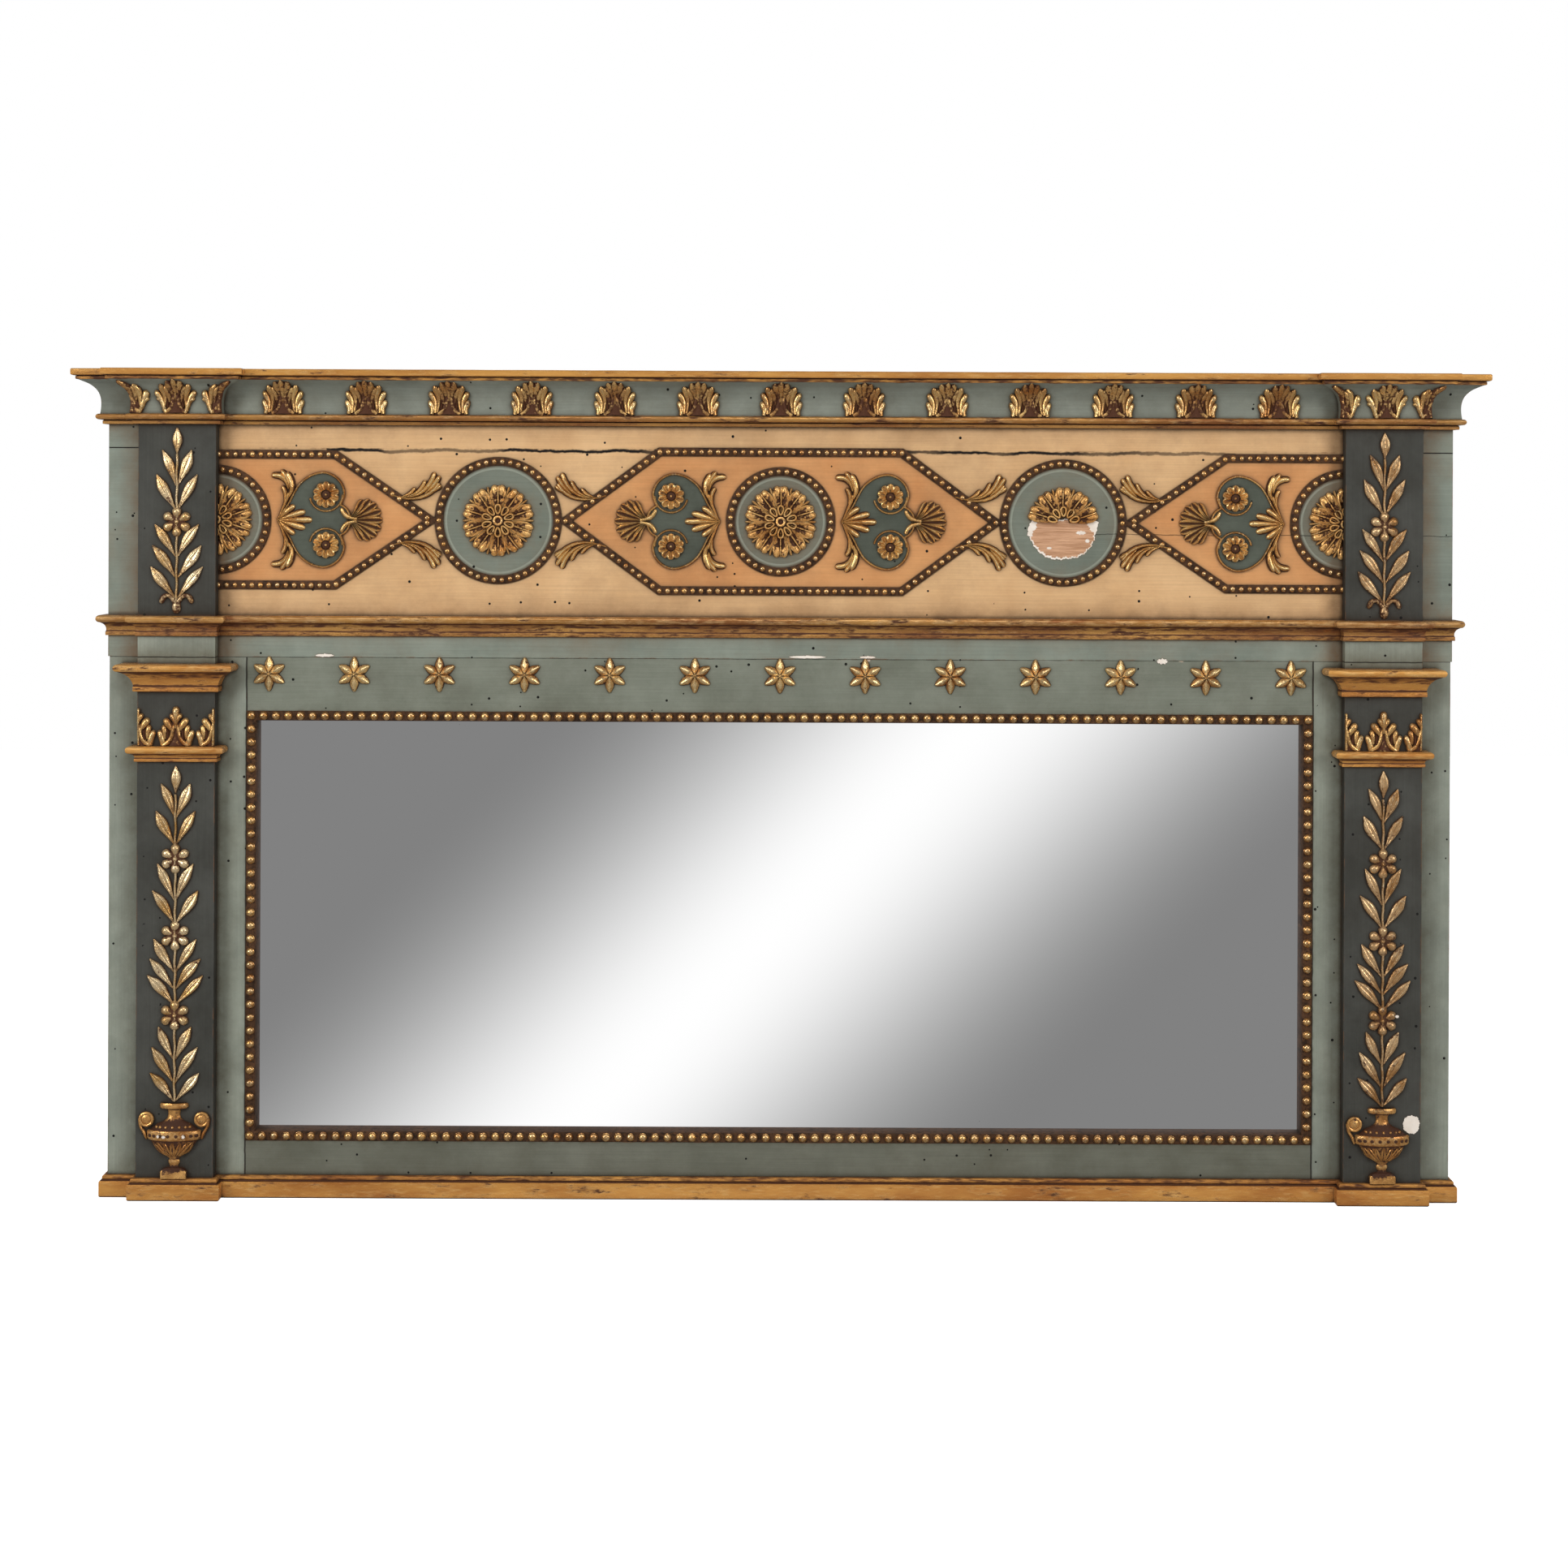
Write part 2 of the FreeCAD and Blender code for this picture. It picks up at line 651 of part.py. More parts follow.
def off_cove(point, distance):
    """A point of the cove's section, moved out of the wood."""
    return (point[0] + cove_normal[0] * distance, point[1] + cove_normal[1] * distance)


def leaf_band(path):
    """Mitred lengths of a skin that lies along the cove, from which the leaves are cut."""
    near, far = cove_leaf_clearance, cove_leaf_clearance + cove_leaf_relief
    section = [off_cove(cove_start, near), (off_cove(cove_middle, near), off_cove(cove_end, near)),
               off_cove(cove_end, far), (off_cove(cove_middle, far), off_cove(cove_start, far))]
    return moulding(section, crown_projection, cove_height, cove_bottom, path)


def cove_leaf(skin, x):
    """A leaf cut from a length of the skin, seen from the front."""
    outline = acanthus(cove_leaf_width, cove_leaf_height, acanthus_lobes)
    place = seat(x, cove_bottom + cove_leaf_lift, wall_y)
    return skin.common(relief(outline, place, overall_depth)).Solids[0]


skins = leaf_band(break_front(frieze_outer))
centre_skin = skins[len(skins) // 2]
first_leaf = cove_leaf_end - pilaster_inner
cove_leaf_pitch = -2 * first_leaf / (cove_leaf_count - 1)
cornice_leaves = [cove_leaf(centre_skin, first_leaf + cove_leaf_pitch * i) for i in range(cove_leaf_count)]
corner_reach = (cove_foot + cove_lip) / 2
for skin, side in ((skins[3], -1), (skins[-4], 1)):
    for offset in (-pilaster_width / 2 - corner_reach, 0, pilaster_width / 2 + corner_reach):
        cornice_leaves.append(cove_leaf(skin, side * pilaster_centre + offset))
parts["cornice_leaves"] = Part.makeCompound(cornice_leaves)

capital_leaf_width = pilaster_width / 2 - capital_leaf_gap
capital_leaves = []
for name, side in sides:
    face = slab(side * pilaster_centre - pilaster_width / 2, side * pilaster_centre + pilaster_width / 2,
                pilaster_front - capital_leaf_relief, pilaster_front, necking_top, capital_mould_bottom)
    for offset in (-pilaster_width / 2, 0, pilaster_width / 2):
        outline = acanthus(capital_leaf_width, capital_leaf_height, acanthus_lobes)
        place = seat(side * pilaster_centre + offset, necking_top, pilaster_front)
        leaf = relief(outline, place, capital_leaf_relief)
        capital_leaves.append(leaf.common(face).Solids[0])
parts["capital_leaves"] = Part.makeCompound(capital_leaves)


# Laurel branches
def laurel_leaf(base, tip, x, width):
    """A pointed leaf with a ridge down its middle; base and tip are (offset from x, height)."""
    length = math.hypot(tip[0] - base[0], tip[1] - base[1])
    along = ((tip[0] - base[0]) / length, (tip[1] - base[1]) / length)
    place = seat(x, 0, pilaster_front)

    def spot(share, across, height):
        u = base[0] + along[0] * length * share - along[1] * across
        v = base[1] + along[1] * length * share + along[0] * across
        return place(u, v) - FreeCAD.Vector(0, height, 0)

    half = width / 2
    edge = [(share, half * wide) for share, wide in laurel_outline] + [(1, 0)]
    edge += [(share, -half * wide) for share, wide in reversed(laurel_outline)] + [(0, 0)]
    foot = [spot(share, across, 0) for share, across in edge]
    rim = [spot(share, across, laurel_rim) for share, across in edge]
    crest = [spot(share, 0, laurel_crest) for share, across in edge]
    faces = [Part.Face(Part.makePolygon(foot + foot[:1]))]
    for i in range(len(edge)):
        j = (i + 1) % len(edge)
        faces.append(Part.Face(Part.makePolygon([foot[i], foot[j], rim[j], rim[i], foot[i]])))
        ends = [point for point, (share, across) in ((i, edge[i]), (j, edge[j])) if across]
        if len(ends) == 2:
            faces.append(Part.Face(Part.makePolygon([rim[i], rim[j], crest[j], rim[i]])))
            faces.append(Part.Face(Part.makePolygon([rim[i], crest[j], crest[i], rim[i]])))
        else:
            faces.append(Part.Face(Part.makePolygon([rim[i], rim[j], crest[ends[0]], rim[i]])))
    return Part.Solid(Part.Shell(faces))


def flower(x, z, y, radius, lobes, height):
    """A scalloped flower with a raised middle."""
    petals = relief(scallops(lobes, 0, 360, radius, radius), seat(x, z, y), height)
    middle = Part.makeCylinder(radius * rosette_button_share * 2, height + rosette_button_relief,
                               FreeCAD.Vector(x, y, z), FreeCAD.Vector(0, -1, 0))
    return petals.fuse(middle).removeSplitter()


def laurel_branch(x, bottom, stretch, top_leaf, pairs, flowers, foot):
    """A stem with the leaves and flowers that are set beside it and on it, on a shaft over bottom."""
    def rise(height):
        return bottom + height * stretch

    half_stem = laurel_stem_width / 2
    root = half_stem + joint_clearance
    width = laurel_leaf_width * stretch
    blooms = [flower(x, rise(height), pilaster_front, laurel_flower_radius * stretch, laurel_flower_petals,
                     laurel_crest) for height in flowers]
    stem = slab(x - half_stem, x + half_stem, pilaster_front - laurel_stem_relief, pilaster_front,
                rise(foot), rise(top_leaf[1]) - joint_clearance)
    leaves = [laurel_leaf((0, rise(top_leaf[1])), (0, rise(top_leaf[0])), x, width)]
    for tip, base, spread in pairs:
        leaves.extend(laurel_leaf((side * root, rise(base)), (side * spread, rise(tip)), x, width)
                      for side in (-1, 1))
    return stem.cut(blooms).Solids + leaves + blooms


urn_height = (urn_foot_height + urn_stem_height + urn_bowl_height + urn_band_height + urn_shoulder_height
              + urn_neck_height + urn_lip_height)
urn_top = base_height + urn_height
upper_stretch = (bed_bottom - waist_top) / upper_drawing_height
lower_stretch = (necking_bottom - urn_top) / lower_drawing_height
upper_branches, lower_branches = [], []
for name, side in sides:
    axis = side * pilaster_centre
    upper_branches += laurel_branch(axis, waist_top, upper_stretch, upper_top_leaf, upper_pairs,
                                    upper_flowers, upper_stem_foot)
    lower_branches += laurel_branch(axis, urn_top, lower_stretch, lower_top_leaf, lower_pairs,
                                    lower_flowers, lower_stem_foot)
parts["upper_laurel_branches"] = Part.makeCompound(upper_branches)
parts["lower_laurel_branches"] = Part.makeCompound(lower_branches)


# Urns: a turned form flattened into low relief, with a scrolled handle on each side
def urn(x):
    """Half an urn, standing on the base moulding against the pilaster."""
    stem_top = urn_foot_height + urn_stem_height
    band_low = stem_top + urn_bowl_height
    band_top = band_low + urn_band_height
    neck_low = band_top + urn_shoulder_height
    lip_low = neck_low + urn_neck_height
    foot = (urn_foot_radius, urn_foot_height / 3)
    waist = (urn_stem_radius, urn_foot_height)
    bowl = (urn_stem_radius, stem_top)
    rim = (urn_band_radius, band_low)
    shoulder = (urn_band_radius, band_top)
    neck = (urn_neck_radius, neck_low)
    throat = (urn_neck_radius, lip_low)
    lip = (urn_lip_radius, urn_height)
    section = [(0, 0), (urn_foot_radius, 0), foot, (bow(foot, waist, -urn_foot_height / 6), waist), bowl,
               (bow(bowl, rim, -urn_bowl_height / 4), rim), shoulder,
               (bow(shoulder, neck, -urn_shoulder_height / 4), neck), throat,
               (bow(throat, lip, urn_lip_height / 6), lip), (0, urn_height)]
    turned = trace(section, seat(0, 0, 0)).revolve(FreeCAD.Vector(0, 0, 0), FreeCAD.Vector(0, 0, 1), -180)
    flatten = FreeCAD.Matrix()
    flatten.scale(1, urn_relief_share, 1)
    body = turned.transformGeometry(flatten)
    body.translate(FreeCAD.Vector(x, pilaster_front, base_height))
    return body


def urn_handle(x, side):
    """A flat ring beside the urn's neck."""
    middle = FreeCAD.Vector(x + side * (urn_band_radius - joint_clearance), pilaster_front,
                            base_height + urn_height - urn_lip_height - urn_neck_height / 2)
    forward = FreeCAD.Vector(0, -1, 0)
    outer = Part.makeCylinder(urn_handle_radius, urn_handle_relief, middle, forward)
    return outer.cut(Part.makeCylinder(urn_handle_radius - urn_handle_band, urn_handle_relief, middle, forward))


urns = []
for name, side in sides:
    urns.append(urn(side * pilaster_centre))
    urns.extend(urn_handle(side * pilaster_centre, hand) for hand in (-1, 1))
parts["urns"] = Part.makeCompound(urns)


# Frieze: panel borders and medallion rings with a rod of beads, rosettes, hearts and leaves
frieze_window = slab(-pilaster_inner, pilaster_inner, pilaster_front, board_front, waist_top, bed_bottom)
rod_section = [(-border_width / 2, 0), (-border_width / 2, border_relief), (-border_rod_width / 2, border_relief),
               ((0, border_relief + border_rod_relief), (border_rod_width / 2, border_relief)),
               (border_width / 2, border_relief), (border_width / 2, 0)]


def border_run(a, b, before, after):
    """One length of bead border from a to b, mitred towards the points before and after it."""
    def unit(p, q):
        length = math.hypot(q[0] - p[0], q[1] - p[1])
        return ((q[0] - p[0]) / length, (q[1] - p[1]) / length)

    along = unit(a, b)
    across = (-along[1], along[0])

    def mitre(other):
        turn = (other[0] + along[0], other[1] + along[1])
        share = border_width / (turn[0] * along[0] + turn[1] * along[1])
        return (-turn[1] * share, turn[0] * share)

    start, end = mitre(unit(before, a)), mitre(unit(b, after))
    place = seat(0, frieze_line, board_front)
    first = (a[0] - along[0] * border_width, a[1] - along[1] * border_width)
    length = math.hypot(b[0] - a[0], b[1] - a[1]) + 2 * border_width
    section = trace(rod_section, lambda s, h: place(first[0] + across[0] * s, first[1] + across[1] * s)
                    - FreeCAD.Vector(0, h, 0))
    bar = section.extrude(FreeCAD.Vector(along[0] * length, 0, along[1] * length))
    outline = [(a[0] - start[0], a[1] - start[1]), (a[0] + start[0], a[1] + start[1]),
               (b[0] + end[0], b[1] + end[1]), (b[0] - end[0], b[1] - end[1])]
    return bar.common(relief(outline, place, border_relief + border_rod_relief)).Solids[0]


def border(points, closed):
    """Mitred border lengths along a line of corner points."""
    count = len(points) if closed else len(points) - 1
    runs = []
    for i in range(count):
        a, b = points[i], points[(i + 1) % len(points)]
        straight_before = (2 * a[0] - b[0], 2 * a[1] - b[1])
        straight_after = (2 * b[0] - a[0], 2 * b[1] - a[1])
        before = points[i - 1] if closed or i > 0 else straight_before
        after = points[(i + 2) % len(points)] if closed or i < count - 1 else straight_after
        runs.append(border_run(a, b, before, after))
    return runs


def on_board(points):
    """Points of the drawing at their size on the board."""
    return [(x * frieze_scale, z * frieze_scale) for x, z in points]


hexagon = [(-centre_panel_tip, 0), (-centre_panel_corner, centre_panel_half_height),
           (centre_panel_corner, centre_panel_half_height), (centre_panel_tip, 0),
           (centre_panel_corner, -centre_panel_half_height), (-centre_panel_corner, -centre_panel_half_height)]
panel_borders = border(on_board(hexagon), True)
for name, side in sides:
    panel_end = side * frieze_drawing_half_length
    half_panel = [(panel_end, end_panel_half_height), (side * end_panel_corner, end_panel_half_height),
                  (side * end_panel_tip, 0), (side * end_panel_corner, -end_panel_half_height),
                  (panel_end, -end_panel_half_height)]
    panel_borders.extend(border(on_board(half_panel), False))
ring_seat_radius = large_ring_radius * frieze_scale + border_width / 2 + joint_clearance
ring_seats = [Part.makeCylinder(ring_seat_radius, board_thickness,
                                FreeCAD.Vector(side * medallion_centre * frieze_scale, board_front, frieze_line),
                                FreeCAD.Vector(0, -1, 0)) for name, side in sides]
parts["panel_borders"] = Part.makeCompound([run.cut(ring_seats) for run in panel_borders])

medallions = on_board([(-medallion_centre, large_ring_radius), (0, small_ring_radius),
                       (medallion_centre, large_ring_radius), (-half_medallion_centre, small_ring_radius),
                       (half_medallion_centre, small_ring_radius)])


def medallion_ring(x, radius):
    """A ring of bead border, cut off where a pilaster covers it."""
    place = seat(x + radius, frieze_line, board_front)
    section = trace(rod_section, lambda s, h: place(s, 0) - FreeCAD.Vector(0, h, 0))
    ring_solid = section.revolve(FreeCAD.Vector(x, board_front, frieze_line), FreeCAD.Vector(0, 1, 0), 360)
    return ring_solid.common(frieze_window).Solids[0]


def rosette(x):
    """A scalloped rosette with a smaller flower and a button on it."""
    forward = FreeCAD.Vector(0, -1, 0)
    place = seat(x, frieze_line, board_front, 1, frieze_scale)
    inner = rosette_radius * rosette_flower_share
    leaves = relief(scallops(rosette_lobes, 0, 360, rosette_radius, rosette_radius), place, rosette_relief)
    middle = relief(scallops(rosette_flower_lobes, 0, 360, inner, inner), place,
                    rosette_relief + rosette_flower_relief)
    button = Part.makeCylinder(rosette_radius * rosette_button_share * frieze_scale,
                               rosette_relief + rosette_flower_relief + rosette_button_relief,
                               FreeCAD.Vector(x, board_front, frieze_line), forward)
    return fuse_all([leaves, middle, button]).common(frieze_window).Solids[0]


parts["medallion_rings"] = Part.makeCompound([medallion_ring(x, radius) for x, radius in medallions])
parts["medallion_rosettes"] = Part.makeCompound([rosette(x) for x, radius in medallions])

# Hearts: u runs from the line of the two small rosettes towards the medallion
def mirrored(outline):
    """The same outline, turned upside down."""
    def flip(step):
        return tuple(flip(item) for item in step) if isinstance(step[0], tuple) else (step[0], -step[1])
    return [flip(step) for step in outline]


def heart_outline():
    """A heart on its side: up one half and back along the other."""
    ends = [(heart_tip, 0)] + [step[1] if isinstance(step[0], tuple) else step for step in heart_half]
    back = []
    for i in range(len(heart_half) - 1, -1, -1):
        step = heart_half[i]
        end = (ends[i][0], -ends[i][1])
        back.append(((step[0][0], -step[0][1]), end) if isinstance(step[0], tuple) else end)
    return [(heart_tip, 0), *heart_half] + back


def heart(place):
    """A heart plate with a raised wire along its edge."""
    face = trace(heart_outline(), place)
    rim = face.cut(face.makeOffset2D(-heart_rim_width))
    plate = face.extrude(FreeCAD.Vector(0, -heart_relief, 0))
    wire = rim.extrude(FreeCAD.Vector(0, -heart_relief - heart_rim_relief, 0))
    return fuse_all([plate, wire])


def palmette(place):
    """A fan of lobes that grows from the cleft of the heart."""
    fan = scallops(palmette_lobes, palmette_first_angle, 360 - palmette_first_angle,
                   palmette_length, palmette_half_width)
    outline = [(u - palmette_root, v) for u, v in fan[:1]]
    for tip, dip in fan[1:]:
        outline.append(((tip[0] - palmette_root, tip[1]), (dip[0] - palmette_root, dip[1])))
    return relief(outline, place, palmette_relief)


def spray(place):
    """The leaf over the heart's point with the two curled horns beside it, in one piece."""
    lobes = acanthus(spray_width, spray_length, spray_lobes)

    def lay(point):
        return (spray_root - point[1], point[0])

    outline = [tuple(lay(p) for p in step) if isinstance(step[0], tuple) else lay(step) for step in lobes]
    return fuse_all([relief(outline, place, spray_relief), relief(heart_horn, place, horn_relief),
                     relief(mirrored(heart_horn), place, horn_relief)])


hearts, heart_rosettes, palmettes, leaf_sprays = [], [], [], []
heart_face = board_front - heart_relief
for centre, turn in ((0, 1), (0, -1), (-half_medallion_centre, 1), (half_medallion_centre, -1)):
    x = (centre + turn * heart_line) * frieze_scale
    place = seat(x, frieze_line, board_front, -turn, frieze_scale)
    fan = palmette(place)
    leaves = spray(place)
    hearts.append(heart(place).cut([fan, leaves]))
    palmettes.append(fan)
    leaf_sprays.append(leaves)
    for offset in (-heart_rosette_offset, heart_rosette_offset):
        heart_rosettes.append(flower(x, frieze_line + offset * frieze_scale, heart_face,
                                     heart_rosette_radius * frieze_scale, heart_rosette_lobes,
                                     heart_rosette_relief))
for centre in (-medallion_centre, medallion_centre):
    for turn in (-1, 1):
        place = seat(centre * frieze_scale, frieze_line, board_front, turn, frieze_scale)
        leaf_sprays.extend(relief(outline, place, horn_relief)
                           for outline in (medallion_sprig, mirrored(medallion_sprig)))
parts["hearts"] = Part.makeCompound(hearts)
parts["heart_rosettes"] = Part.makeCompound(heart_rosettes)
parts["palmettes"] = Part.makeCompound(palmettes)
parts["leaf_sprays"] = Part.makeCompound(leaf_sprays)

os.makedirs("parts", exist_ok=True)
for name, shape in parts.items():
    shape.exportStep(os.path.join("parts", name + ".step"))
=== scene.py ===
import bpy
import bmesh
import math
import numpy as np
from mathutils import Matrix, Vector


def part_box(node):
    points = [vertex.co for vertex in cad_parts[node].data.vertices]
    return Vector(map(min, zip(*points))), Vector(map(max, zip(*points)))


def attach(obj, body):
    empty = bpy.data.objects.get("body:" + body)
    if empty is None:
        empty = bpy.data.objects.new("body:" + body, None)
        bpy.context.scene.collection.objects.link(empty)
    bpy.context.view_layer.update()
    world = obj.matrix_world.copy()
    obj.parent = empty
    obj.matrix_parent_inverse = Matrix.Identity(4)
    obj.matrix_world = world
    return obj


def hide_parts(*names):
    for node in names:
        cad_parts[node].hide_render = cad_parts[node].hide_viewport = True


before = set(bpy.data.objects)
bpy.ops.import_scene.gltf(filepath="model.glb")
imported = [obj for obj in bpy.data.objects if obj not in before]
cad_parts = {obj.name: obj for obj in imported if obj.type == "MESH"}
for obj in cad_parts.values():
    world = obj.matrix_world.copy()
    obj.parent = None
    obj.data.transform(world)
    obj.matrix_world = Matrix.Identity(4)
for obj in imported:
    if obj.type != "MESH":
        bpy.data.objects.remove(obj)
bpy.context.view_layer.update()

# The boards: pine stiles, rails and frieze boards, gessoed and brushed with matt distemper.
# Age has greyed the paint, dirt and painted shade darken it beside every raised edge, and beetles have bored it.
MM = 0.001


def tint(code):
    """An sRGB hex colour as linear red, green, blue and alpha."""
    channels = [int(code[i:i + 2], 16) / 255 for i in (1, 3, 5)]
    return [c / 12.92 if c <= 0.04045 else ((c + 0.055) / 1.055) ** 2.4 for c in channels] + [1.0]


def feed(tree, node, inputs):
    """Sets inputs, by name or in their order; each is a value, a socket, or a node's first output."""
    for key, value in inputs.items() if isinstance(inputs, dict) else enumerate(inputs):
        if isinstance(value, bpy.types.Node):
            value = value.outputs[0]
        if isinstance(value, bpy.types.NodeSocket):
            tree.links.new(value, node.inputs[key])
        else:
            node.inputs[key].default_value = value


def add(tree, kind, inputs=(), **settings):
    """Adds a node with its settings and its links; a bare kind is a shader node."""
    made = tree.nodes.new(kind if "Node" in kind else "ShaderNode" + kind)
    for name, value in settings.items():
        setattr(made, name, value)
    feed(tree, made, inputs)
    return made


def finish_tree(name):
    """A new material with its tree, its shader and the piece's own coordinates."""
    finish = bpy.data.materials.new(name)
    finish.use_nodes = True
    tree = finish.node_tree
    return (finish, tree, tree.nodes["Principled BSDF"], add(tree, "TexCoord").outputs["Object"])


def hollows(tree, reach, low, high):
    """1 where the surface lies in a corner or a groove, 0 where it stands free."""
    shade = add(tree, "AmbientOcclusion", {"Distance": reach * MM}, samples=6)
    return add(tree, "MapRange", (shade.outputs["AO"], low, high, 1.0, 0.0),
               interpolation_type="SMOOTHSTEP")


def arrises(tree, radius):
    """1 along the outer edges of the wood, where paint and gilding rub off."""
    rounded = add(tree, "Bevel", {"Radius": radius * MM}, samples=4)
    flat = add(tree, "NewGeometry").outputs["Normal"]
    turn = add(tree, "VectorMath", (rounded, flat), operation="DOT_PRODUCT").outputs["Value"]
    return add(tree, "MapRange", (turn, 0.9, 0.99, 1.0, 0.0))


def two_tones(tree, place, body, light):
    """Paint that shifts slowly between two tones, in patches about 90 mm across."""
    patches = add(tree, "TexNoise", {"Vector": place, "Scale": 11.0, "Detail": 6.0, "Roughness": 0.66})
    share = add(tree, "MapRange", (patches, 0.34, 0.66))
    return add(tree, "MixRGB", (share, tint(body), tint(light)))


def distemper(name, ground, brushed, dirt_and_shade, seam=None):
    """Brushed matt paint with dirt, painted shade by the ornament and in the corners, worn edges and holes, over two
    tones or a ground from a function.
    """
    finish, tree, shader, place = finish_tree(name)
    colour = ground(tree, place) if callable(ground) else two_tones(tree, place, *ground)
    # Bristle marks about 2.5 mm wide and 120 mm long
    lengths = add(tree, "Mapping", {"Vector": place,
                                    "Scale": [8 if axis == brushed else 400 for axis in "XYZ"]})
    bristles = add(tree, "TexNoise", {"Vector": lengths, "Scale": 1.0, "Detail": 4.0, "Roughness": 0.7})
    streak = add(tree, "MapRange", (bristles, 0.3, 0.7, 0.91, 1.06))
    colour = add(tree, "MixRGB", (1.0, colour, streak), blend_type="MULTIPLY")
    # Smoke has darkened the paint in clouds. Beside the ornament a wide darkening in the dirt colour, placed by
    # ambient occlusion and broken in patches, is dirt and painted shade; in the corners a near-black darkening is
    # painted shade
    clouds = add(tree, "TexNoise", {"Vector": place, "Scale": 6.0, "Detail": 9.0, "Roughness": 0.72})
    smoke = add(tree, "MapRange", (clouds, 0.47, 0.72, 0.0, 0.4))
    colour = add(tree, "MixRGB", (smoke, colour, tint(dirt_and_shade)))
    blotches = add(tree, "TexNoise", {"Vector": place, "Scale": 38.0, "Detail": 6.0, "Roughness": 0.68})
    broken = add(tree, "MapRange", (blotches, 0.3, 0.7, 0.35, 1.0))
    wide = add(tree, "Math", (hollows(tree, 30.0, 0.72, 0.995), broken), operation="MULTIPLY")
    dirt_and_shade_veil = add(tree, "Math", (wide, 0.8), operation="MULTIPLY")
    colour = add(tree, "MixRGB", (dirt_and_shade_veil, colour, tint(dirt_and_shade)))
    # Painted shade: the corners darkened to near black by ambient occlusion
    painted_corner_shade = add(tree, "Math", (hollows(tree, 7.0, 0.45, 0.9), 0.9), operation="MULTIPLY")
    colour = add(tree, "MixRGB", (painted_corner_shade, colour, tint("#2e2014")))
    # Rubbed arrises show the ground and the brown wood
    rub = add(tree, "MapRange", (blotches, 0.5, 0.62))
    worn = add(tree, "Math", (arrises(tree, 2.2), rub), operation="MULTIPLY")
    colour = add(tree, "MixRGB", (worn, colour, tint("#6d4a30")))
    # Flight holes of furniture beetle, 1.5 to 3.5 mm across, in swarms: in up to 3 cells of 10
    spot = add(tree, "SeparateXYZ", (place,))
    face_on = add(tree, "CombineXYZ", (spot.outputs["X"], spot.outputs["Z"]))
    cells = add(tree, "TexVoronoi", {"Vector": face_on, "Scale": 1 / (20 * MM)}, voronoi_dimensions="2D")
    lot = add(tree, "SeparateColor", (cells.outputs["Color"],))
    swarm = add(tree, "TexNoise", {"Vector": place, "Scale": 5.0, "Detail": 1.0})
    chance = add(tree, "MapRange", (swarm, 0.38, 0.66, 0.0, 0.3))
    chosen = add(tree, "Math", (lot.outputs[0], chance), operation="LESS_THAN")
    girth = add(tree, "MapRange", (lot.outputs[1], 0.0, 1.0, 0.9 / 20, 1.8 / 20))
    hole = add(tree, "Math", (cells.outputs["Distance"], girth), operation="LESS_THAN")
    bored = add(tree, "Math", (hole, chosen), operation="MULTIPLY")
    colour = add(tree, "MixRGB", (bored, colour, tint("#0d0a08")))
    if seam:
        colour, bored = seam(tree, place, colour, bored)
    # The back and the sawn upper edges were never painted
    facing = add(tree, "SeparateXYZ", (add(tree, "NewGeometry").outputs["Normal"],))
    back = add(tree, "Math", (facing.outputs["Y"], 0.5), operation="GREATER_THAN")
    top = add(tree, "Math", (facing.outputs["Z"], spot.outputs["Z"]), operation="MULTIPLY")
    top = add(tree, "Math", (top, 0.99), operation="GREATER_THAN")
    unpainted = add(tree, "Math", (back, top), operation="MAXIMUM")
    bare = add(tree, "MixRGB", (bristles, tint("#6e5236"), tint("#a3815a")))
    colour = add(tree, "MixRGB", (unpainted, colour, bare))
    relief = add(tree, "Math", (bristles, add(tree, "Math", (bored, 4.0), operation="MULTIPLY")),
                 operation="SUBTRACT")
    bump = add(tree, "Bump", {"Strength": 0.25, "Distance": 0.5 * MM, "Height": relief})
    gloss = add(tree, "MapRange", (blotches, 0.0, 1.0, 0.52, 0.8))
    feed(tree, shader, {"Base Color": colour, "Roughness": gloss, "Normal": bump,
                        "Specular IOR Level": 0.22})
    return finish


def near_line(tree, value, line, half_width, wander):
    """1 on a thin wandering line where value equals line, in metres."""
    off = add(tree, "Math", (value, line), operation="SUBTRACT")
    off = add(tree, "Math", (off, wander), operation="SUBTRACT")
    off = add(tree, "Math", (off,), operation="ABSOLUTE")
    return add(tree, "MapRange", (off, half_width * 0.6, half_width * 1.4, 1.0, 0.0))


frieze_joint = 665 * MM
stile_edge = 657 * MM


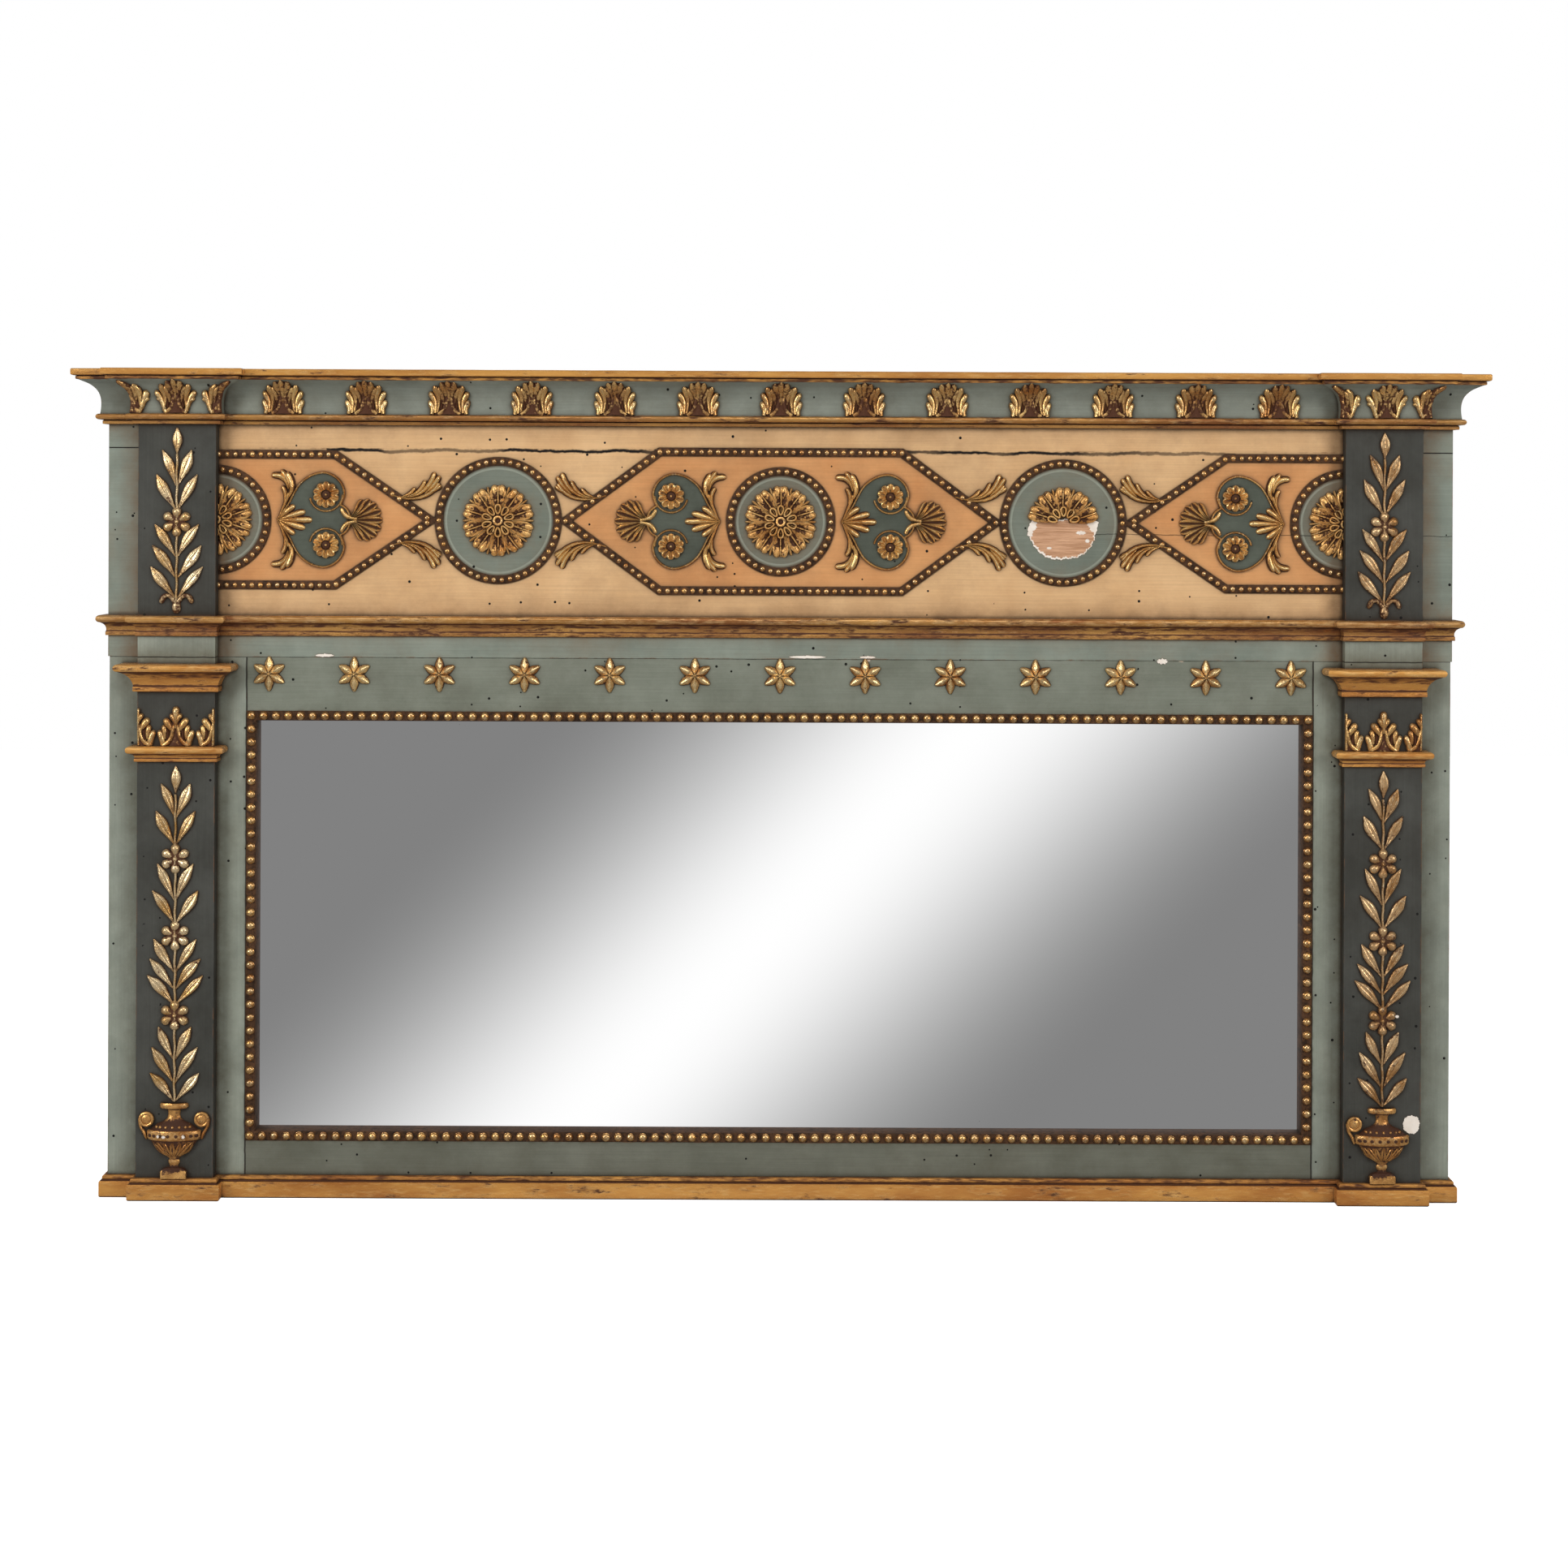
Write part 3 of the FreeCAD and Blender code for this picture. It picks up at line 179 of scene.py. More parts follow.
def board_seams(tree, place, colour, bored):
    """Open joints between the boards, with chips of white gesso knocked off along the frieze joint."""
    along = add(tree, "SeparateXYZ", (place,))
    chatter = add(tree, "TexNoise", {"Vector": place, "Scale": 60.0, "Detail": 4.0})
    wander = add(tree, "MapRange", (chatter, 0.0, 1.0, -0.8 * MM, 0.8 * MM))
    level = near_line(tree, along.outputs["Z"], frieze_joint, 0.7 * MM, wander)
    off_axis = add(tree, "Math", (along.outputs["X"],), operation="ABSOLUTE")
    upright = near_line(tree, off_axis, stile_edge, 1.0 * MM, wander)
    below = add(tree, "Math", (along.outputs["Z"], frieze_joint), operation="LESS_THAN")
    upright = add(tree, "Math", (upright, below), operation="MULTIPLY")
    flaking = add(tree, "TexNoise", {"Vector": place, "Scale": 17.0, "Detail": 3.0, "Roughness": 0.75})
    chip = add(tree, "MapRange", (flaking, 0.66, 0.68))
    edge = near_line(tree, along.outputs["Z"], frieze_joint, 2.6 * MM, wander)
    chip = add(tree, "Math", (chip, edge), operation="MULTIPLY")
    colour = add(tree, "MixRGB", (chip, colour, tint("#c3ad97")))
    open_joint = add(tree, "Math", (level, upright), operation="MAXIMUM")
    dark = add(tree, "Math", (open_joint, 0.9), operation="MULTIPLY")
    colour = add(tree, "MixRGB", (dark, colour, tint("#1d1813")))
    return (colour, add(tree, "Math", (bored, open_joint), operation="MAXIMUM"))

def show(finish, *names):
    """Gives a finish to CAD solids that show as they are."""
    for name in names:
        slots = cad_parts[name].data.materials
        slots.clear()
        slots.append(finish)


upright_paint = distemper("blue_green_distemper_brushed_upright", ("#787d72", "#8e9386"), "Z", "#55503f",
                          board_seams)
show(upright_paint, "left_stile", "right_stile", "left_entablature_block", "right_entablature_block")
# The star rail is painted in darker tones than the stiles: painted shade under the waist moulding
level_paint = distemper("blue_green_distemper_brushed_level_in_painted_shade", ("#6b6f62", "#7d8174"), "X", "#4a4436",
                        board_seams)
show(level_paint, "star_rail")
low_paint = distemper("blue_green_distemper_darkened_by_smoke", ("#5f6054", "#6e6f63"), "X", "#46402f",
                      board_seams)
show(low_paint, "bottom_rail")

# The frieze: one wide pine board and a narrow one over it, painted cream, with salmon panels,
# blue-green discs and blue-green ends. The long crack is the joint between the two boards.
frieze_line = 834.0
medallion_x = 348.0
half_medallion_x = 695.0
waist_cover = 700.0
blue_green_ends = 740.0
large_ring = 73.0
small_ring = 62.0
centre_panel = (265.0, 149.0, 85.5)
end_panel = (431.0, 549.0, 80.5)


def frieze_ground(tree, place):
    """Cream, with the panels, discs and ends masked by the board's own measures."""
    spot = add(tree, "SeparateXYZ", (place,))
    across = add(tree, "Math", (spot.outputs["X"],), operation="ABSOLUTE")
    up = add(tree, "Math", (spot.outputs["Z"], frieze_line * MM), operation="SUBTRACT")
    up = add(tree, "Math", (up,), operation="ABSOLUTE")

    def inside(tip, corner, half_height, operation):
        slope = (tip - corner) / half_height
        reach = add(tree, "Math", (up, slope, across), operation="MULTIPLY_ADD")
        beyond = add(tree, "Math", (reach, tip * MM), operation=operation)
        level = add(tree, "Math", (up, half_height * MM), operation="LESS_THAN")
        return add(tree, "Math", (beyond, level), operation="MULTIPLY")

    def disc(x, radius):
        aside = add(tree, "Math", (across, x * MM), operation="SUBTRACT")
        flat = add(tree, "CombineXYZ", (aside, up))
        length = add(tree, "VectorMath", (flat,), operation="LENGTH").outputs["Value"]
        return add(tree, "Math", (length, radius * MM), operation="LESS_THAN")

    panels = add(tree, "Math", (inside(*centre_panel, "LESS_THAN"), inside(*end_panel, "GREATER_THAN")),
                 operation="MAXIMUM")
    teal = add(tree, "Math", (spot.outputs["Z"], waist_cover * MM), operation="LESS_THAN")
    ends = add(tree, "Math", (across, blue_green_ends * MM), operation="GREATER_THAN")
    painted_rim_highlight, discs = None, []
    for x, radius, tones in ((0, small_ring, ("#5f6257", "#6e7164")),
                             (medallion_x, large_ring, ("#656c61", "#757c70")),
                             (half_medallion_x, small_ring, ("#5f6257", "#6e7164"))):
        discs.append((disc(x, radius), tones))
        # A painted highlight: a pale line just inside the disc's edge, beside the beads, where a turned edge would
        # catch the light
        rim = add(tree, "Math", (disc(x, radius - 7.5), disc(x, radius - 10.0)), operation="SUBTRACT")
        painted_rim_highlight = rim if painted_rim_highlight is None else add(tree, "Math", (painted_rim_highlight, rim), operation="MAXIMUM")
    teal = add(tree, "Math", (teal, ends), operation="MAXIMUM")
    colour = two_tones(tree, place, "#c59c6e", "#d3ac7e")
    colour = add(tree, "MixRGB", (panels, colour, two_tones(tree, place, "#bd824f", "#cd9560")))
    colour = add(tree, "MixRGB", (teal, colour, two_tones(tree, place, "#70776c", "#838a7e")))
    for mask, tones in discs:
        colour = add(tree, "MixRGB", (mask, colour, two_tones(tree, place, *tones)))
    painted_rim_highlight = add(tree, "Math", (painted_rim_highlight, 0.36), operation="MULTIPLY")
    return add(tree, "MixRGB", (painted_rim_highlight, colour, tint("#aab3a4")))


crack_line, joint_line, hair_line = 920 * MM, 922 * MM, 820 * MM
crack_end, joint_start, hair_start = 560 * MM, 780 * MM, 330 * MM


def frieze_crack(tree, place, colour, bored):
    """The joint between the boards, opened in a ragged black line that comes and goes."""
    along = add(tree, "SeparateXYZ", (place,))
    slow = add(tree, "TexNoise", {"Vector": place, "Scale": 14.0, "Detail": 7.0, "Roughness": 0.7})
    wander = add(tree, "MapRange", (slow, 0.0, 1.0, -7 * MM, 7 * MM))
    gap = add(tree, "TexNoise", {"Vector": place, "Scale": 7.0, "Detail": 2.0})
    width = add(tree, "MapRange", (gap, 0.46, 0.54, 0.7, 1.0))
    crack = near_line(tree, along.outputs["Z"], crack_line, 1.9 * MM, wander)
    across = add(tree, "Math", (along.outputs["X"],), operation="ABSOLUTE")
    front = add(tree, "Math", (across, crack_end), operation="LESS_THAN")
    for mask in (width, front):
        crack = add(tree, "Math", (crack, mask), operation="MULTIPLY")
    # At both ends of the board the joint is still straight; on the right a hair crack crosses the end panel
    joint = near_line(tree, along.outputs["Z"], joint_line, 0.7 * MM, 0.0)
    ends = add(tree, "Math", (across, joint_start), operation="GREATER_THAN")
    joint = add(tree, "Math", (joint, ends), operation="MULTIPLY")
    calm = add(tree, "Math", (wander, 0.5), operation="MULTIPLY")
    hair = near_line(tree, along.outputs["Z"], hair_line, 0.5 * MM, calm)
    right = add(tree, "Math", (along.outputs["X"], hair_start), operation="GREATER_THAN")
    hair = add(tree, "Math", (hair, right), operation="MULTIPLY")
    hair = add(tree, "Math", (hair, 0.75), operation="MULTIPLY")
    for split in (joint, hair):
        crack = add(tree, "Math", (crack, split), operation="MAXIMUM")
    colour = add(tree, "MixRGB", (crack, colour, tint("#120d0a")))
    return (colour, add(tree, "Math", (bored, crack), operation="MAXIMUM"))


frieze_paint = distemper("cream_and_salmon_distemper_frieze", frieze_ground, "X", "#75593e", frieze_crack)
show(frieze_paint, "frieze_board", "frieze_top_board")

# The pilasters: four pine blocks on each side, planted on the boards and painted dark green.
# Their paint is smoother than the boards', with brown rubbed edges.

pilaster_paint = distemper("dark_green_paint_on_pine", ("#383833", "#464641"), "Z", "#2a2219")
for side in ("left", "right"):
    show(pilaster_paint, side + "_pilaster", side + "_capital_block", side + "_upper_pilaster")

# Back battens, backboards and the glued blocks: sawn pine, left bare and browned by age.
# Early wood and late wood alternate every 4 to 6 mm along the grain.
pine, tree, shader, place = finish_tree("bare_pine_sawn_and_aged")
stretched = add(tree, "Mapping", {"Vector": place, "Scale": (190, 190, 5)})
grain = add(tree, "TexNoise", {"Vector": stretched, "Scale": 1.0, "Detail": 5.0, "Roughness": 0.6})
stains = add(tree, "TexNoise", {"Vector": place, "Scale": 9.0, "Detail": 4.0})
wood = add(tree, "MixRGB", (grain, tint("#755638"), tint("#c39d70")))
aged = add(tree, "MapRange", (stains, 0.35, 0.7, 0.65, 1.1))
wood = add(tree, "MixRGB", (1.0, wood, aged), blend_type="MULTIPLY")
# Painted shade: the wood darkened in its corners by ambient occlusion
painted_shade_in_corners = add(tree, "Math", (hollows(tree, 8.0, 0.3, 0.9), 0.7), operation="MULTIPLY")
wood = add(tree, "MixRGB", (painted_shade_in_corners, wood, tint("#2f2318")))
saw_marks = add(tree, "Bump", {"Strength": 0.4, "Distance": 0.8 * MM, "Height": grain})
gloss = add(tree, "MapRange", (grain, 0.0, 1.0, 0.65, 0.9))
feed(tree, shader, {"Base Color": wood, "Roughness": gloss, "Normal": saw_marks})
show(pine, "left_back_batten", "centre_back_batten", "right_back_batten", "backboards", "glass_blocks")

# Screws, strap hangers and their swinging rings: forged iron, blackened, with rust in the pits.
# The straps are screwed to the battens, and the rings turn in their eyes.
iron, tree, shader, place = finish_tree("forged_iron_blackened")
pits = add(tree, "TexNoise", {"Vector": place, "Scale": 1 / (4 * MM), "Detail": 6.0, "Roughness": 0.65})
rusty = add(tree, "MapRange", (pits, 0.5, 0.68))
scale_colour = add(tree, "MixRGB", (rusty, tint("#3a3835"), tint("#6b4229")))
bare_metal = add(tree, "MapRange", (rusty, 0.0, 1.0, 0.85, 0.15))
rough_iron = add(tree, "MapRange", (pits, 0.0, 1.0, 0.35, 0.75))
pitting = add(tree, "Bump", {"Strength": 0.4, "Distance": 0.4 * MM, "Height": pits})
feed(tree, shader, {"Base Color": scale_colour, "Metallic": bare_metal, "Roughness": rough_iron, "Normal": pitting})
show(iron, "back_screws", "hanger_straps", "left_hanging_ring", "right_hanging_ring")

# The mirror plate: silvered glass, clear over its whole face, with a few pin-head spots where
# the silver has gone.
silver, tree, shader, place = finish_tree("silvered_plate_glass")
specks = add(tree, "TexVoronoi", {"Vector": place, "Scale": 1 / (60 * MM)})
gone = add(tree, "MapRange", (specks.outputs["Distance"], 0.4 / 60, 0.7 / 60, 0.4, 0.0))
plate_tone = add(tree, "MixRGB", (gone, tint("#ffffff"), tint("#8b8578")))
feed(tree, shader, {"Base Color": plate_tone, "Metallic": 1.0, "Roughness": 0.0})
show(silver, "mirror_glass")

# Gilt mouldings: lengths of planed pine that step forward round both pilasters with mitred
# corners, gessoed, coated with brown bole and water-gilt, then rubbed by two centuries of dusting.


def gilding(name, leaf, shade, bole, reach, rubbed, metal, pale="#f0dab2", broken=1.2, drawn=1.0,
            polish=0.24):
    """Gold leaf over brown bole: bright on the proud parts with a painted highlight on the highest, worn to bole in
    patches, and bole with painted shade in the hollows.
    """
    finish, tree, shader, place = finish_tree(name)
    place = add(tree, "Mapping", {"Vector": place, "Scale": (drawn, 1, 1)})
    tone = add(tree, "TexNoise", {"Vector": place, "Scale": 1 / (45 * MM), "Detail": 5.0,
                                  "Roughness": 0.65})
    share = add(tree, "MapRange", (tone, 0.38, 0.64))
    gold = add(tree, "MixRGB", (share, tint(leaf), tint(shade)))
    edge = add(tree, "Attribute", attribute_name="proud").outputs["Fac"]
    # Worn spots 3 to 10 mm across
    spots = add(tree, "TexNoise", {"Vector": place, "Scale": 1 / (9 * MM), "Detail": 8.0,
                                   "Roughness": 0.72})
    thin = add(tree, "MapRange", (spots, 0.72 - 0.25 * rubbed, 0.82 - 0.25 * rubbed))
    # "proud" runs from 0 in the cuts, where the leaf never took, to 1 on high edges; more is rubbed pale and painted
    # as a highlight
    grit = add(tree, "TexNoise", {"Vector": place, "Scale": 1 / (3.2 * MM), "Detail": 4.0})
    uneven = add(tree, "Math", (spots, grit), operation="ADD")
    uneven = add(tree, "Math", (uneven, broken, -broken), operation="MULTIPLY_ADD")
    proud = add(tree, "Math", (edge, uneven), operation="ADD")
    # The highest edges are rubbed thin and pale, and the pale tone is also a painted highlight
    rubbed_and_highlit = add(tree, "MapRange", (proud, 0.9, 1.2, 0.0, 0.75))
    gold = add(tree, "MixRGB", (rubbed_and_highlit, gold, tint(pale)))
    cut = add(tree, "MapRange", (proud, 0.28, 0.62, 1.0, 0.0), interpolation_type="SMOOTHSTEP")
    # Ambient occlusion turns the hollows to bole colour: the bole left in the recesses, and painted shade
    deep = hollows(tree, reach, 0.3, 0.76)
    bole_and_shade = add(tree, "Math", (thin, deep), operation="MAXIMUM")
    bole_and_shade = add(tree, "Math", (bole_and_shade, cut), operation="MAXIMUM")
    colour = add(tree, "MixRGB", (bole_and_shade, gold, tint(bole)))
    # Painted shade: the deepest hollows darkened to near black
    painted_deep_shade = hollows(tree, reach * 0.6, 0.18, 0.52)
    colour = add(tree, "MixRGB", (painted_deep_shade, colour, tint("#1f140d")))
    shine = add(tree, "MapRange", (bole_and_shade, 0.0, 1.0, metal, 0.0))
    dull = add(tree, "MapRange", (bole_and_shade, 0.0, 1.0, polish, 0.62))
    cuts = add(tree, "Math", (spots, 2.0, grit), operation="MULTIPLY_ADD")
    leafing = add(tree, "Bump", {"Strength": 0.55, "Distance": 0.5 * MM, "Height": cuts})
    feed(tree, shader, {"Base Color": colour, "Metallic": shine, "Roughness": dull, "Normal": leafing, "Specular IOR Level": 0.2})
    return finish


moulding_gilt = gilding("water_gilding_over_bole_on_mouldings", "#dfa356", "#b3743a", "#52301c", 9.0, 0.66,
                        0.5, "#efc07c", 0.7, 0.22)
browned_gilt = gilding("water_gilding_rubbed_to_bole", "#c99654", "#8f5c36", "#4c2c1a", 9.0, 0.78, 0.55,
                       "#dcb27a", 0.9, 0.22)


def arc(start, end, rise, count=7):
    """Points of an arc from start to end that bulges to the left by rise."""
    (x0, y0), (x1, y1) = start, end
    chord = math.hypot(x1 - x0, y1 - y0)
    bulge = np.linspace(-1, 1, count)
    radius = (chord * chord / 4 + rise * rise) / (2 * abs(rise))
    half = math.asin(min(1.0, chord / 2 / radius))
    if abs(rise) > chord / 2:
        half = math.pi - half
    along = radius * np.sin(bulge * half)
    lift = radius * np.cos(bulge * half) - radius * math.cos(half)
    side = math.copysign(1, rise)
    ux, uy = (x1 - x0) / chord, (y1 - y0) / chord
    mx, my = (x0 + x1) / 2, (y0 + y1) / 2
    return [(mx + ux * s - uy * side * h, my + uy * s + ux * side * h) for s, h in zip(along, lift)]


def set_in_scene(name, data):
    """A new object that holds the data, linked to the scene."""
    made = bpy.data.objects.new(name, data)
    bpy.context.scene.collection.objects.link(made)
    return made


def piece(name, shells, finish, replaced=(), sharp=38):
    """One riding piece from closed shells: points in mm, faces, and how proud each point stands."""
    points, faces, proud = [], [], []
    for shell_points, shell_faces, shell_proud in shells:
        start = len(points)
        points.extend(tuple(float(c) * MM for c in point) for point in shell_points)
        faces.extend([start + i for i in face] for face in shell_faces)
        proud.extend(shell_proud)
    mesh = bpy.data.meshes.new(name)
    mesh.from_pydata(points, [], faces)
    mesh.attributes.new("proud", "FLOAT", "POINT").data.foreach_set("value",
                                                                    [float(share) for share in proud])
    work = bmesh.new()
    work.from_mesh(mesh)
    bmesh.ops.remove_doubles(work, verts=work.verts, dist=0.004 * MM)
    bmesh.ops.dissolve_degenerate(work, edges=work.edges, dist=0.002 * MM)
    bmesh.ops.recalc_face_normals(work, faces=work.faces)
    work.to_mesh(mesh)
    work.free()
    mesh.polygons.foreach_set("use_smooth", [True] * len(mesh.polygons))
    mesh.set_sharp_from_angle(angle=math.radians(sharp))
    mesh.materials.append(finish)
    made = set_in_scene(name, mesh)
    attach(made, "mirror")
    if replaced:
        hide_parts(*replaced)
    return made


def tube_faces(rings, around, closed):
    """Quads between the rings of a swept form, with a cap at each open end."""
    faces = []
    for i in range(rings if closed else rings - 1):
        a, b = i * around, (i + 1) % rings * around
        faces.extend([a + j, a + (j + 1) % around, b + (j + 1) % around, b + j] for j in range(around))
    if not closed:
        faces.append(list(range(around))[::-1])
        faces.append([(rings - 1) * around + j for j in range(around)])
    return faces


def moulding(section, base, path, step=24.0, waver=0.3):
    """A mitred moulding along a plan line; a hand plane leaves it wavering by some tenths of a mm."""
    normals = []
    for (x0, y0), (x1, y1) in zip(path, path[1:]):
        length = math.hypot(x1 - x0, y1 - y0)
        normals.append(np.array(((y1 - y0) / length, (x0 - x1) / length)))
    stations = [(np.array(path[0]), normals[0])]
    for i, normal in enumerate(normals):
        a, b = np.array(path[i]), np.array(path[i + 1])
        count = max(1, int(np.linalg.norm(b - a) / step))
        stations.extend((a + (b - a) * k / count, normal) for k in range(1, count))
        corner = normal + normals[i + 1] if i + 1 < len(normals) else normal
        stations.append((b, corner))
    points, proud = [], []
    for place, out in stations:
        swing = math.sin(place[0] * 0.031 + base) + 0.6 * math.sin(place[0] * 0.083 + 2 * base)
        for reach, height, gold in section:
            ease = waver * swing if reach > 2 and base > 1 else 0
            points.append((*(place + out * (reach - abs(ease) * 0.5)), base + height - abs(ease) * 0.35))
            proud.append(gold)
    return points, tube_faces(len(stations), len(section), False), proud


def gilt(gold, *points):
    """Section points with how much gold they keep."""
    return [(*point, gold) for point in points]


board_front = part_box("left_stile")[0].y / MM
board_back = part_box("left_stile")[1].y / MM
pilaster_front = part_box("left_pilaster")[0].y / MM
inner_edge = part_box("right_pilaster")[0].x / MM
outer_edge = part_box("right_pilaster")[1].x / MM
pilaster_x = (inner_edge + outer_edge) / 2


def break_front(half_width):
    """The plan line that returns at the ends and steps forward round both pilasters."""
    left = [(-half_width, board_back), (-half_width, board_front), (-outer_edge, board_front),
            (-outer_edge, pilaster_front), (-inner_edge, pilaster_front), (-inner_edge, board_front)]
    return left + [(-x, y) for x, y in reversed(left)]


def sides(name):
    return [side + "_" + name for side in ("left", "centre", "right")]


stile_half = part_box("right_stile")[1].x / MM
frieze_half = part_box("frieze_board")[1].x / MM
waist_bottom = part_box("centre_waist_mould")[0].z / MM
bed_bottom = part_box("centre_bed_mould")[0].z / MM
cove_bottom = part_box("centre_cove")[0].z / MM
crown_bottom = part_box("centre_crown")[0].z / MM

# In these sections the grooves and the crown's lower fillet keep little gold and the beads, rolls and bands much:
# partly bole in the cuts, partly painted shade and painted highlight
base_section = (gilt(0.9, (0, 0), (7.6, 0), (9, 1.4), (9, 18.6)) + gilt(0.6, (8.4, 19.8))
                + gilt(0.0, (5.2, 20.2), (4.4, 21.2)) + gilt(0.45, (5.5, 22.6),
                                                             *arc((5.5, 23.2), (2.5, 27), -1.2))
                + gilt(0.3, (0, 27)))


def fillet_and_roll(height, fillet_height, fillet_reach, roll, reach, hollow):
    """A moulding section: a square fillet below, a hollow, a quirk and a roll on top."""
    neck = (reach - roll / 2, height - roll)
    below = arc((fillet_reach - 0.7, fillet_height + 0.5), (neck[0] - 1.2, neck[1] - 0.6), hollow)
    # Its gold is painted light: the quirks and the hollow's upper half keep little, as painted shade, and the
    # hollow's lower half and the roll keep much, as painted highlight
    return (gilt(0.5, (0, 0), (fillet_reach - 0.5, 0), (fillet_reach, 0.5),
                 (fillet_reach, fillet_height - 0.6))
            + gilt(0.1, below[0]) + gilt(0.85, *below[1:3]) + gilt(0.4, *below[3:6]) + gilt(0.0, below[6])
            + gilt(0.3, neck) + gilt(1.0, *arc(neck, (neck[0], height), -roll / 2 + 0.02, 9)[1:])
            + gilt(0.5, (0, height)))


waist_section = fillet_and_roll(25, 5, 3, 9, 13, 2)
bed_section = (gilt(0.7, (0, 0), (6.0, 0), (6.5, 0.5), (6.5, 3.8)) + gilt(0.0, (5.4, 4.8), (8.6, 5.2))
               + gilt(0.9, *arc((10.25, 5.4), (10.25, 12.5), -3.5, 9)) + gilt(0.4, (0, 12.5)))
crown_section = (gilt(0.4, (0, 0), (32.6, 0)) + gilt(0.4, (33.5, 0.6), (33.5, 3.5)) + gilt(0.0, (32.2, 4.3),
                                                                                           (36.6, 4.7))
                 + gilt(0.9, (38, 5.4), (38.5, 6.4), (38.5, 11.8), (37.4, 13)) + gilt(0.3, (30, 13),
                                                                                      (0, 13)))
for name, section, bottom, half_width, finish, replaced in (
        ("base_moulding", base_section, 0, stile_half, moulding_gilt, "base_mould"),
        ("waist_moulding", waist_section, waist_bottom, frieze_half, browned_gilt, "waist_mould"),
        ("bed_moulding", bed_section, bed_bottom, frieze_half, browned_gilt, "bed_mould"),
        ("crown_moulding", crown_section, crown_bottom, frieze_half, moulding_gilt, "crown")):
    piece(name, [moulding(section, bottom, break_front(half_width))], finish, sides(replaced))
necking_section = fillet_and_roll(19, 4, 3.5, 9, 12.5, 1.2)
capital_section = fillet_and_roll(34, 6, 5, 9, 25, 3.5)
neckings, capitals = [], []
for name, sign in (("left", -1), ("right", 1)):
    first, last = sorted((sign * inner_edge, sign * outer_edge))
    wrap = [(first, board_front), (first, pilaster_front), (last, pilaster_front), (last, board_front)]
    neckings.append(moulding(necking_section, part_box(name + "_necking_mould")[0].z / MM, wrap, 12.0))
    capitals.append(moulding(capital_section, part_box(name + "_capital_mould")[0].z / MM, wrap, 12.0))
piece("necking_mouldings", neckings, moulding_gilt,
      ("left_necking_mould", "right_necking_mould"))
piece("capital_mouldings", capitals, moulding_gilt,
      ("left_capital_mould", "right_capital_mould"))

# The cove: a hollow pine moulding under the crown, mitred round the break-fronts and painted
# like the boards, on which the leaves stand.
cove_height = 41.5


def smooth_line(points, steps):
    """Points along a curve that passes through each given point."""
    knots = np.array(points, float)
    padded = np.vstack((2 * knots[0] - knots[1], knots, 2 * knots[-1] - knots[-2]))
    line = []
    for t in np.array(steps) * (len(knots) - 1):
        i = min(int(t), len(knots) - 2)
        f = t - i
        a, b, c, d = padded[i:i + 4]
        line.append(0.5 * (2 * b + (c - a) * f + (2 * a - 5 * b + 4 * c - d) * f * f
                           + (3 * b - a - 3 * c + d) * f ** 3))
    return np.array(line)


cove_turns = [(9, 0), (8.0, 9), (8.4, 19), (11.5, 28), (18, 35), (26.5, 39.4), (31.5, cove_height)]
cove_curve = [tuple(point) for point in smooth_line(cove_turns, np.linspace(0, 1, 21))]
cove_paint = distemper("blue_green_distemper_in_the_cove", ("#70756c", "#858a7f"), "X", "#554f3f")
piece("cove_moulding", [moulding(gilt(1.0, (0, 0), *cove_curve, (0, cove_height)), cove_bottom,
                                 break_front(frieze_half))],
      cove_paint, sides("cove"))

# Cornice leaves: carved acanthus, glued into the cove, one to every 102 mm, with one on each
# pilaster's axis and half leaves at the corners of the break-fronts.
carved_gilt = gilding("water_gilding_on_carved_leaves", "#e4bb7a", "#b07a45", "#4b2a17", 3.4, 0.66, 0.75,
                      "#f2d6a0")


def mirrored(*half):
    """A section from its one half: each point's offset from the middle, rise and gold."""
    return [(-offset, rise, gold) for offset, rise, gold in half] + [p for p in reversed(half) if p[0]]


# Sections of a lobe; the cuts beside and inside it keep the least gold
LOBE = mirrored((1, 0, 0), (0.86, 0.55, 0.6), (0.45, 0.9, 0.95), (0, 1, 1))
VEINED = mirrored((1, 0, 0), (0.92, 0.66, 0.75), (0.5, 0.98, 1), (0.1, 0.64, 0.3))
SINK = 0.6


def lobe(ground, spine, widths, heights, section=LOBE, rings=8, gold=1.0):
    """One carved lobe: a section swept along a curved line on its ground, with a rounded tip."""
    length = np.linalg.norm(np.diff(smooth_line(spine, np.linspace(0, 1, 20)), axis=0), axis=1).sum()
    turn = 1 - min(0.5, widths[-1] / length)
    tip = np.sin(np.linspace(0, math.pi / 2, 5))[1:]
    steps = np.concatenate((np.linspace(0, turn, rings), turn + (1 - turn) * tip))
    round_off = np.concatenate((np.ones(rings), np.sqrt(1 - tip ** 2)))
    line = smooth_line(spine, steps)
    ways = np.gradient(line, axis=0)
    ways /= np.linalg.norm(ways, axis=1)[:, None]
    wide = np.interp(steps, np.linspace(0, 1, len(widths)), widths) * round_off
    high = np.interp(steps, np.linspace(0, 1, len(heights)), heights) * round_off
    points, proud = [], []
    golds = np.interp(steps, np.linspace(0, 1, np.size(gold)), np.atleast_1d(gold))
    for (u, v), (du, dv), w, h, kept in zip(line, ways, wide, high, golds):
        points.extend(ground(u - dv * s * w, v + du * s * w,
                             rise * h - (SINK if rise == 0 or w < 0.01 else 0))
                      for s, rise, left in section)
        proud.extend(left * kept for s, rise, left in section)
    return points, tube_faces(len(steps), len(section), False), proud


def both_ways(ground):
    """The same ground, and its mirror image about the line u = 0."""
    return ground, lambda u, v, h: ground(-u, v, h)


cove_heights = np.array([h for p, h in cove_curve])
cove_reaches = np.array([p for p, h in cove_curve])
cove_slopes = np.gradient(cove_reaches, cove_heights)


